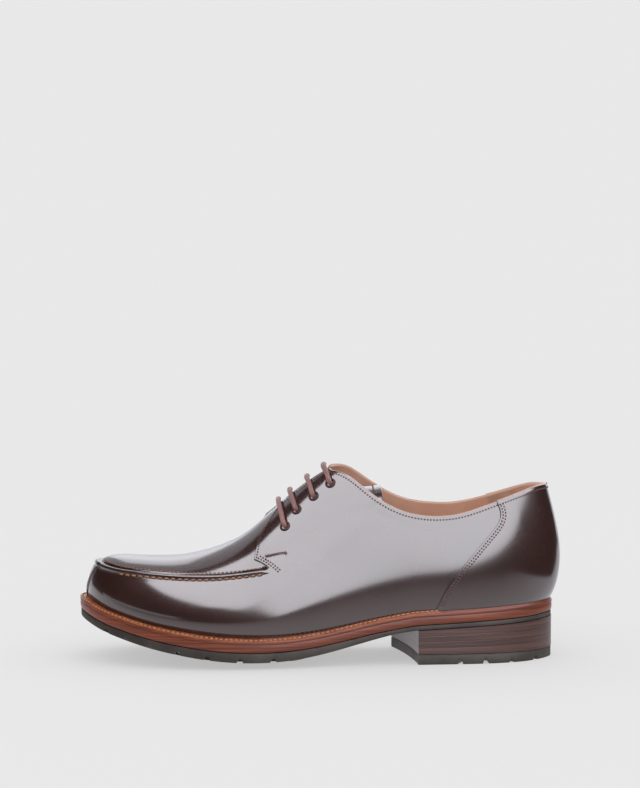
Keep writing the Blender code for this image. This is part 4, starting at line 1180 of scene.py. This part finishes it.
end_x = TONGUE_LINE[-1].x
tongue_x = TONGUE_START_X + (end_x - TONGUE_START_X) * (1 - np.cos(np.linspace(0, np.pi, TONGUE_ROWS))) / 2
tongue_share = np.sin(np.linspace(-np.pi / 2, np.pi / 2, TONGUE_COLUMNS))
under_x = np.minimum(tongue_x, TONGUE_LINE[0].x)
tongue_y = ridge_y(tongue_x)[:, None] + tongue_share * TONGUE_HALF_WIDTH
under_y = ridge_y(under_x)[:, None] + tongue_share * TONGUE_HALF_WIDTH
tongue_z = np.array([last_top(x, y) for x, y in zip(under_x, under_y)]) - TONGUE_CLEARANCE
tongue_z = tongue_z + (tongue_line(np.maximum(tongue_x, under_x)) - tongue_line(under_x))[:, None] * (
    tongue_x > under_x
)[:, None]
tongue_face = np.stack([np.broadcast_to(tongue_x[:, None], tongue_y.shape), tongue_y, tongue_z], -1)
tongue_normal = unit(np.cross(np.gradient(tongue_face, axis=0), np.gradient(tongue_face, axis=1)))
middle = tongue_face - tongue_normal * TONGUE_THICKNESS / 2
rim_distance = np.minimum(
    (1 - np.abs(tongue_share)) * TONGUE_HALF_WIDTH,
    np.minimum(tongue_x - TONGUE_START_X, end_x - tongue_x)[:, None],
)
half_thickness = (rim_share(rim_distance, TONGUE_THICKNESS / 2) * TONGUE_THICKNESS / 2)[..., None]
make_piece(
    "tongue_leather",
    [
        (middle + tongue_normal * half_thickness, True),
        (middle - tongue_normal * half_thickness, False),
    ],
    calf,
    ["tongue"],
)

# %% [markdown]
# ## Eyelets and lace
# An eyelet is a turned ring: a small profile swung round the axis of its lace hole. The lace is one
# round cord. It crosses the throat in four bars, dips through each eyelet and climbs to the next
# row under the facing, where nobody sees it.

# %% Eyelets
EYELETS = [Level(-22.0, 84.4), Level(-14.7, 94.2), Level(-4.1, 102.6), Level(6.4, 110.6)]
EYELET_SIDES = 40
EyeletPoint = namedtuple("EyeletPoint", "radius height")
EYELET_PROFILE = [
    EyeletPoint(2.0, -2.4),
    EyeletPoint(2.0, 0.2),
    EyeletPoint(2.1, 0.6),
    EyeletPoint(2.4, 0.85),
    EyeletPoint(2.8, 0.8),
    EyeletPoint(3.2, 0.55),
    EyeletPoint(3.4, 0.3),
    EyeletPoint(3.4, 0.05),
]


def hole_frame(level, side):
    """Middle of a lace hole on the facing's face, and the direction out of it."""
    turn = turn_at(level.x, side)
    rise = rise_at_height(turn, level.z)
    out = last_normal(turn, rise)
    return last(turn, rise) + out * PANEL_LEVEL, out


def swung(profile, centre, out):
    """Ring of a profile: centre plus height along the axis plus radius round it."""
    across = unit(np.cross((0.0, 1.0, 0.3), out))
    along = np.cross(out, across)
    angles = np.linspace(0, 2 * np.pi, EYELET_SIDES + 1)[:, None]
    round_axis = np.cos(angles) * across + np.sin(angles) * along
    radius, height = np.array(profile).T
    return centre + height[:, None, None] * out + radius[:, None, None] * round_axis


PAIRS = range(1, len(EYELETS) + 1)
eyelet_names = [f"eyelet_{word}_{pair}" for word in ("lateral", "medial") for pair in PAIRS]
make_piece(
    "eyelet_rings",
    [swung(EYELET_PROFILE, *hole_frame(level, side)) for side in SIDES for level in EYELETS],
    enamel,
    eyelet_names,
)

# %% The lace's route
LACE_RADIUS, LACE_LIFT, LACE_CROWN, LACE_SIDES = 1.5, 0.9, 2.2, 20
HOLE_LEVEL, BEND_SHARE, BEND_LIFT = 0.4, 0.04, 1.4  # the cord in a hole and where it bends out of it
HIDDEN_LEVEL = -2.8  # middle of the room between facing and tongue
HIDDEN_ASIDE = 4.5  # mm that the straight hidden run lies beside the holes
BAR_SHARES = (0.3, 0.6, 0.85, 1.0)
BAR_LEAN = 1.8  # mm that a taut bar lies farther forward on the ridge


def bar_half(level, side):
    """Half a bar, from under its hole to the facing's edge, as points off the last."""
    shares = np.array((0.0, 0.0, BEND_SHARE, *BAR_SHARES))
    turns = turn_at(level.x - BAR_LEAN * shares, side)
    hole = rise_at_height(turns[0], level.z)
    edge = rise_at_gap(turns, FACING_TOP_HALF_GAP)
    lift = PANEL_LEVEL + LACE_LIFT + LACE_RADIUS
    bend = PANEL_LEVEL + BEND_LIFT
    levels = np.array((HIDDEN_LEVEL, HOLE_LEVEL, bend, *(lift for _ in BAR_SHARES)))
    return off_last(turns, hole + (edge - hole) * shares, levels)


def bar(level):
    """A bar from the lateral hole over the throat to the medial one, highest in the middle."""
    lateral, medial = bar_half(level, LATERAL), bar_half(level, MEDIAL)
    crown = (lateral[-1] + medial[-1]) / 2 + (0, 0, LACE_CROWN)
    return np.concatenate([lateral, [crown], medial[::-1]])


def hidden_run(side, levels, drop):
    """Points under the facing beside some holes, drop lower down the side."""
    turns = np.array([turn_at(level.x, side) for level in levels])
    rises = rise_at_height(turns, np.array([level.z for level in levels]) - drop)
    return off_last(turns, rises, HIDDEN_LEVEL)


route = [hidden_run(LATERAL, EYELETS[::-1], HIDDEN_ASIDE)[:-1]]
for row, level in enumerate(EYELETS):
    crossing = bar(level)
    route.append(crossing if row % 2 == 0 else crossing[::-1])
route = np.concatenate(route)
knots = walked_along(route)
LACE_STEP = 0.35
lace_at = np.arange(0, knots[-1], LACE_STEP)
lace_line = np.column_stack([Spline(knots, route[:, axis])(lace_at) for axis in range(3)])
print("lace:", round(knots[-1]), "mm in the shoe")


# %% The braided lace
def tube(line, radius, sides):
    """Round tube along a line: each ring stands on the line's direction, carried on without twist."""
    direction = unit(np.gradient(line, axis=0))
    across = np.empty_like(line)
    across[0] = unit(np.cross(direction[0], (0.3, 0.9, 0.2)))
    for i in range(1, len(line)):
        carried = across[i - 1] - direction[i] * (across[i - 1] @ direction[i])
        across[i] = carried / np.linalg.norm(carried)
    beside = np.cross(direction, across)
    angles = np.linspace(0, 2 * np.pi, sides + 1)[:, None, None]
    rings = line + radius * (np.cos(angles) * across + np.sin(angles) * beside)
    ends = [np.repeat(line[i][None, None], sides + 1, axis=0) for i in (0, -1)]
    return np.concatenate([ends[0], rings, ends[1]], axis=1)


make_piece(
    "lace_cord",
    [tube(lace_line, LACE_RADIUS, LACE_SIDES)],
    lace_braid,
    [f"lace_bar_{pair}" for pair in PAIRS],
)

# %% [markdown]
# ## Thread
# Hundreds of stitches make a shoe look sewn. One stitch is a small capsule of two dozen faces. A row is a
# curve on the last, walked in steps of the stitch pitch, and every stitch is the same capsule
# turned to the curve's tangent and normal, all worked out as one array.

# %% Stitch rows
STITCH_ROWS, STITCH_SIDES = 5, 6


def capsule(length, width, height):
    """A stitch as (along, aside, up): an ellipse's section that closes towards both ends."""
    u = np.linspace(-1, 1, STITCH_ROWS)[:, None]
    angles = np.linspace(0, 2 * np.pi, STITCH_SIDES + 1)
    size = np.sqrt(np.clip(1 - np.abs(u) ** 3, 0, 1))
    return np.stack(
        np.broadcast_arrays(
            u * length / 2, size * np.cos(angles) * width / 2, size * np.sin(angles) * height / 2
        ),
        -1,
    )


def stitches(points, normals, pitch, length, width, height, lift=0.0):
    """Stitches along a curve: the capsule set at every pitch on its tangent and normal."""
    walked = walked_along(points)
    places = np.arange(pitch / 2, walked[-1], pitch)

    def read(values, step=0.0):
        """Values at the stitches' places, or a step further along."""
        return np.column_stack([np.interp(places + step, walked, values[:, k]) for k in range(3)])

    spot, up = read(points), unit(read(normals))
    along = unit(read(points, pitch / 4) - read(points, -pitch / 4))
    aside = unit(np.cross(up, along))
    axes = np.stack([along, aside, up], axis=1)
    shape = capsule(length, width, height)
    return list((spot + up * lift)[:, None, None] + np.einsum("rsk,nkd->nrsd", shape, axes))


def inset_route(side, route, distance):
    """A route moved by a distance in mm across itself, on the last: found by two small trial steps."""
    turns, rises = side_turn(route[:, 0], side), route[:, 1]
    small = 0.02
    base = last(turns, rises)
    by_station = last(side_turn(route[:, 0] + 1, side), rises) - base
    by_rise = (last(turns, np.clip(rises + small, 0, 1)) - base) / small
    along = unit(np.gradient(base, axis=0))
    normal = unit(np.cross(by_station, by_rise))
    wanted = np.cross(normal, along) * distance
    a, b, c = (by_station**2).sum(-1), (by_station * by_rise).sum(-1), (by_rise**2).sum(-1)
    p, q = (wanted * by_station).sum(-1), (wanted * by_rise).sum(-1)
    spread = a * c - b * b
    moved = np.stack([(p * c - q * b) / spread, (q * a - p * b) / spread], -1)
    return route + moved


def sewn(side, route, level, thread):
    """Stitches of one row on the last, from its route, level and thread sizes."""
    points, _, normals, _ = curve_frame(side, route, level, 1)
    return stitches(points, normals, **thread)


FINE = dict(pitch=1.95, length=1.35, width=1.05, height=0.7, lift=0.1)
APRON_UPPER = dict(pitch=2.6, length=2.1, width=0.95, height=0.7, lift=0.15)
APRON_LOWER = dict(pitch=4.15, length=3.2, width=1.4, height=1.1, lift=0.3)
EDGE_INSET, TAB_INSET, TONGUE_HEM = 1.4, 1.3, 5.5
COUNTER_INSETS, SLIT_INSETS, TACK_ASIDE, TACK_SINK = (1.1, 2.7), (1.2, 2.8), 0.45, 0.2
APRON_UPPER_HEIGHT, APRON_LOWER_HEIGHT = 2.5, -1.75  # over and under the seam's middle line
APRON_UPPER_START = 9.0  # station of the first stitch
COUNTER_ROW, APRON_ROW_END = slice(6, -3), -4  # the points of an edge that carry a row
APRON_LOWER_START = float(station_at(-128.0))
SLIT_ROW_SHARES = np.linspace(-0.55, 0.9, 40)[:, None]
TACK_SHARES = np.linspace(0, 1, 30)[:, None]
TACK = dict(pitch=1.15, length=1.0, width=0.8, height=0.6, lift=0.1)

fine_rows, apron_rows, rose_rows = [], [], []
for side in SIDES:
    top, edge, tab = quarter_top(side), counter_edge(side), tab_edge(side)[WALL_ROWS + SEAM_ROWS :]
    fine_rows += sewn(side, inset_route(side, top, -EDGE_INSET), PANEL_LEVEL, FINE)
    fine_rows += sewn(side, inset_route(side, counter(side)[-1], -EDGE_INSET), COUNTER_LEVEL, FINE)
    for inset in COUNTER_INSETS:
        fine_rows += sewn(side, inset_route(side, edge[COUNTER_ROW], -inset), COUNTER_LEVEL, FINE)
    fine_rows += sewn(side, inset_route(side, tab[TAB_ROWS:], -TAB_INSET), PANEL_LEVEL, FINE)
    turn = side_turn(toe_stations, side)
    for offset, level, thread, rows, start in (
        (APRON_UPPER_HEIGHT, APRON_LEVEL, APRON_UPPER, rose_rows, APRON_UPPER_START),
        (APRON_LOWER_HEIGHT, PANEL_LEVEL, APRON_LOWER, apron_rows, APRON_LOWER_START),
    ):
        rises = rise_at_height(turn, seam_z(outline_x(turn)) + offset)
        route = np.stack([toe_stations, rises], -1)
        rows += sewn(side, route[toe_stations > start][:APRON_ROW_END], level, thread)
    slit = tab[0] + (tab[TAB_ROWS] - tab[0]) * SLIT_ROW_SHARES
    for inset in SLIT_INSETS:
        fine_rows += sewn(side, inset_route(side, slit, -inset), PANEL_LEVEL, FINE)
    tack_ends = [on_side(place, side) for place in (BAR_START, BAR_END)]
    tack = tack_ends[0] + (tack_ends[1] - tack_ends[0]) * TACK_SHARES
    for aside in (-TACK_ASIDE, TACK_ASIDE):
        fine_rows += sewn(side, inset_route(side, tack, aside), PANEL_LEVEL - TACK_SINK, TACK)
tongue_row = np.argmin(np.abs(tongue_x - (end_x - TONGUE_HEM)))
inside = np.abs(tongue_share) * TONGUE_HALF_WIDTH < TONGUE_HALF_WIDTH - TONGUE_HEM
fine_rows += stitches(tongue_face[tongue_row][inside], tongue_normal[tongue_row][inside], **FINE)
make_piece("fine_stitches", fine_rows, fine_thread, weld=0.001)
make_piece("apron_top_stitches", rose_rows, rose_thread, weld=0.001)
make_piece("apron_stitches", apron_rows, apron_thread, weld=0.001)

# %% Welt stitches
WELT_STITCH = dict(pitch=3.0, length=2.4, width=1.1, height=1.0, lift=0.1)
WELT_STITCH_FROM_EDGE, WELT_STITCH_TILT, WELT_STITCH_POINTS = 1.4, 0.35, 500
welt_rows = []
for side in SIDES:
    turns = side_turn(np.linspace(0, station_at(RAND_X), WELT_STITCH_POINTS), side)
    offset = welt_of(turns) - WELT_STITCH_FROM_EDGE
    plan = np.stack([outline_x(turns), outline_y(turns)], -1) + outward(turns) * offset[:, None]
    slope = WELT_SLOPE * (offset - WELT_CREST) / (welt_of(turns) - WELT_CREST)
    points = np.column_stack([plan, feather_z(plan[:, 0]) - GAP - slope])
    tilt = np.column_stack([outward(turns) * WELT_STITCH_TILT, np.ones(len(turns))])
    welt_rows += stitches(points, unit(tilt), **WELT_STITCH)
make_piece("welt_stitches", welt_rows, welt_thread, weld=0.001)

# %% [markdown]
# ## Studio
# Polished leather shows its studio as shapes. A glowing panel hangs close over the shoe and another stands
# in front of it, beside the camera. Together they make the broad pale field on the side: their left edges
# draw its border on the toe, and the front one's slanting lower edge the border that climbs towards the
# heel. The table shows as a band that grows paler towards the welt, and between the two lies the dark room.
# A dim light on the left and two sheets behind draw the outlines. All of these show in the gloss alone.
# Even room light carries the matt pieces and the paper.

# %% Paper sweep
PAPER_GLOW = 0.45  # the sheet is lit through from below, so shadows on it are pale
PAPER_FIBRE_MM = 3.33
paper, tree, shader = new_material(
    "matt_paper_sweep",
    Roughness=1.0,
    Specular_IOR_Level=0.0,
    Emission_Color=linear("#ffffff"),
    Emission_Strength=PAPER_GLOW,
)
toned(tree, shader, noise(tree, object_place(tree), 1000 / PAPER_FIBRE_MM, 2.0), "#aaaaaa", "#acacac")


def stage_sheet(name, points, faces, material):
    """A sheet that belongs to the studio, from its points in metres and its faces."""
    mesh = bpy.data.meshes.new(name)
    mesh.from_pydata(points, [], faces)
    mesh.shade_smooth()
    mesh.materials.append(material)
    sheet = bpy.data.objects.new(name, mesh)
    bpy.context.scene.collection.objects.link(sheet)
    print("studio:", name)
    return sheet


SWEEP_HALF_WIDTH, SWEEP_FRONT, SWEEP_BACK, SWEEP_BEND, SWEEP_TOP = 2.5, -0.6, 1.2, 1.5, 2.6
bend = np.linspace(0, np.pi / 2, 24)
sweep_x = np.linspace(-SWEEP_HALF_WIDTH, SWEEP_HALF_WIDTH, 3)
sweep_y = np.concatenate([[SWEEP_FRONT], SWEEP_BACK + SWEEP_BEND * np.sin(bend), [SWEEP_BACK + SWEEP_BEND]])
sweep_z = np.concatenate([[0.0], SWEEP_BEND * (1 - np.cos(bend)), [SWEEP_TOP]])
sweep_grid = np.stack(np.broadcast_arrays(sweep_x, sweep_y[:, None], sweep_z[:, None]), -1)
sweep_faces = grid_quads(len(sweep_y), len(sweep_x))
sweep = stage_sheet("paper_sweep", sweep_grid.reshape(-1, 3).tolist(), sweep_faces.tolist(), paper)
sweep.visible_glossy = False

# %% Light panels and room
PANEL_COLOUR, PANEL_RADIANCE, ROOM_RADIANCE = (0.97, 0.97, 1.03), 5.5, 0.9


def glowing_cloth(name, radiance):
    """Black cloth that glows evenly. Returns the material with its parts."""
    return new_material(
        name,
        Base_Color=linear("#000000"),
        Specular_IOR_Level=0.0,
        Emission_Color=(*PANEL_COLOUR, 1.0),
        Emission_Strength=radiance,
    )


def graded_cloth(name, axis, low, high):
    """Cloth that glows by its place along an axis: low and high are pairs of metres and radiance."""
    material, tree, shader = glowing_cloth(name, high[1])
    place = add(tree, "ShaderNodeSeparateXYZ", {"Vector": object_place(tree)}).outputs[axis]
    ends = {"From Min": low[0], "From Max": high[0], "To Min": low[1], "To Max": high[1]}
    glow = add(tree, "ShaderNodeMapRange", {"Value": place, **ends})
    tree.links.new(glow.outputs["Result"], shader.inputs["Emission Strength"])
    return material


def stage_panel(name, corners, material):
    """A flat panel that is seen only as a reflection, from its corners in metres."""
    panel = stage_sheet(name, corners, [tuple(range(len(corners)))], material)
    panel.visible_camera, panel.visible_diffuse, panel.visible_shadow = False, False, False


def soft_box(name, corner, across, up, radiance):
    """A rectangular light from its corner and two edges in metres: watts are radiance times pi times area."""
    corner, across, up = (np.array(v, float) for v in (corner, across, up))
    width, height = np.linalg.norm(across), np.linalg.norm(up)
    light = bpy.data.lights.new(name, "AREA")
    light.shape, light.size, light.size_y = "RECTANGLE", width, height
    light.energy = radiance * np.pi * width * height
    light.color = PANEL_COLOUR
    box = bpy.data.objects.new(name, light)
    axes = np.stack([across / width, up / height, np.cross(across / width, up / height)], 1)
    box.matrix_world = Matrix(np.vstack([np.column_stack([axes, corner + (across + up) / 2]), [0, 0, 0, 1]]))
    box.visible_camera, box.visible_diffuse = False, False
    bpy.context.scene.collection.objects.link(box)
    print("studio:", name)


even_cloth = glowing_cloth("glowing_panel_cloth", PANEL_RADIANCE)[0]
table_cloth = graded_cloth("lit_table_cloth", "Y", (-0.26, 0.1), (-0.06, 1.0))
rear_cloth = graded_cloth("lit_rear_cloth", "Z", (0.1, 1.3), (0.6, 0.7))
rear_panel_cloth = graded_cloth("rear_panel_cloth", "Z", (0.2, 0.8), (0.7, 2.4))
OVERHEAD_Z, FRONT_Y, FRONT_TOP, REAR_Y, REAR_PANEL_Y, TABLE_LIFT = 0.2, -0.64, 0.34, 1.25, 1.2, 0.0005
OVERHEAD_LEFT = ((-0.15, -0.015), (-0.13, -0.12), (-0.117, -0.2), (-0.08, -0.28), (-0.06, -0.36))
OVERHEAD_PLAN = (*OVERHEAD_LEFT, (0.5, -0.36), (0.46, -0.015))
FRONT_OUTLINE = ((-0.05, FRONT_TOP), (0.145, -0.045), (0.45, 0.09), (1.0, FRONT_TOP))
TABLE_PLAN = ((-2.5, -0.3), (0.3, -0.3), (0.3, 0.05), (1.0, 0.6), (1.0, 1.2), (-2.5, 1.2))
REAR_OUTLINE = ((1.4, 0.0), (1.4, 4.0), (-1.4, 4.0), (-1.4, 0.0))
REAR_PANEL_OUTLINE = ((1.0, 0.2), (1.0, 1.55), (-0.4, 1.55), (-0.4, 0.2))
stage_panel("overhead_panel", [(x, y, OVERHEAD_Z) for x, y in OVERHEAD_PLAN], even_cloth)
stage_panel("front_panel", [(x, FRONT_Y, z) for x, z in FRONT_OUTLINE], even_cloth)
stage_panel("table_top", [(x, y, TABLE_LIFT) for x, y in TABLE_PLAN], table_cloth)
stage_panel("rear_paper", [(x, REAR_Y, z) for x, z in REAR_OUTLINE], rear_cloth)
stage_panel("rear_panel", [(x, REAR_PANEL_Y, z) for x, z in REAR_PANEL_OUTLINE], rear_panel_cloth)
soft_box("left_fill", (-2.6, 0.5, -0.3), (1.5, -2.9, 0), (0, 0, 0.5), 0.9)
world = bpy.data.worlds.new("even_room")
bpy.context.scene.world = world
world.use_nodes = True
room = world.node_tree.nodes["Background"]
room.inputs["Color"].default_value = linear("#ffffff")
room.inputs["Strength"].default_value = ROOM_RADIANCE
world.cycles_visibility.glossy = False

# %% Camera
SHOE = (0.0, 0.0, 0.06)  # the point that the photograph is measured from
CAMERA_AZIMUTH, CAMERA_ELEVATION, CAMERA_DISTANCE = np.radians(-2.0), np.radians(7.5), 1.3
AIM_ABOVE, AIM_ASIDE = 0.1061, -0.0004  # metres past the shoe's middle, for the photograph's framing
SENSOR_MM, FOCAL_PIXELS, IMAGE_HEIGHT = 36.0, 2047.0, 788
away = np.array(
    [
        np.sin(CAMERA_AZIMUTH) * np.cos(CAMERA_ELEVATION),
        -np.cos(CAMERA_AZIMUTH) * np.cos(CAMERA_ELEVATION),
        np.sin(CAMERA_ELEVATION),
    ]
)
lens = bpy.data.cameras.new("photo_camera")
lens.lens, lens.sensor_width = SENSOR_MM * FOCAL_PIXELS / IMAGE_HEIGHT, SENSOR_MM
camera = bpy.data.objects.new("photo_camera", lens)
camera.location = np.array(SHOE) + away * CAMERA_DISTANCE
upright = np.cross(away, unit(np.cross((0, 0, 1.0), away)))
aim = np.array(SHOE) + upright * AIM_ABOVE + np.array([AIM_ASIDE, 0, 0])
camera.rotation_euler = (Vector(aim) - camera.location).to_track_quat("-Z", "Y").to_euler()
bpy.context.scene.collection.objects.link(camera)
bpy.context.scene.camera = camera
bpy.context.scene.view_settings.view_transform = "Standard"
print("camera:", np.round(camera.location, 3).tolist())
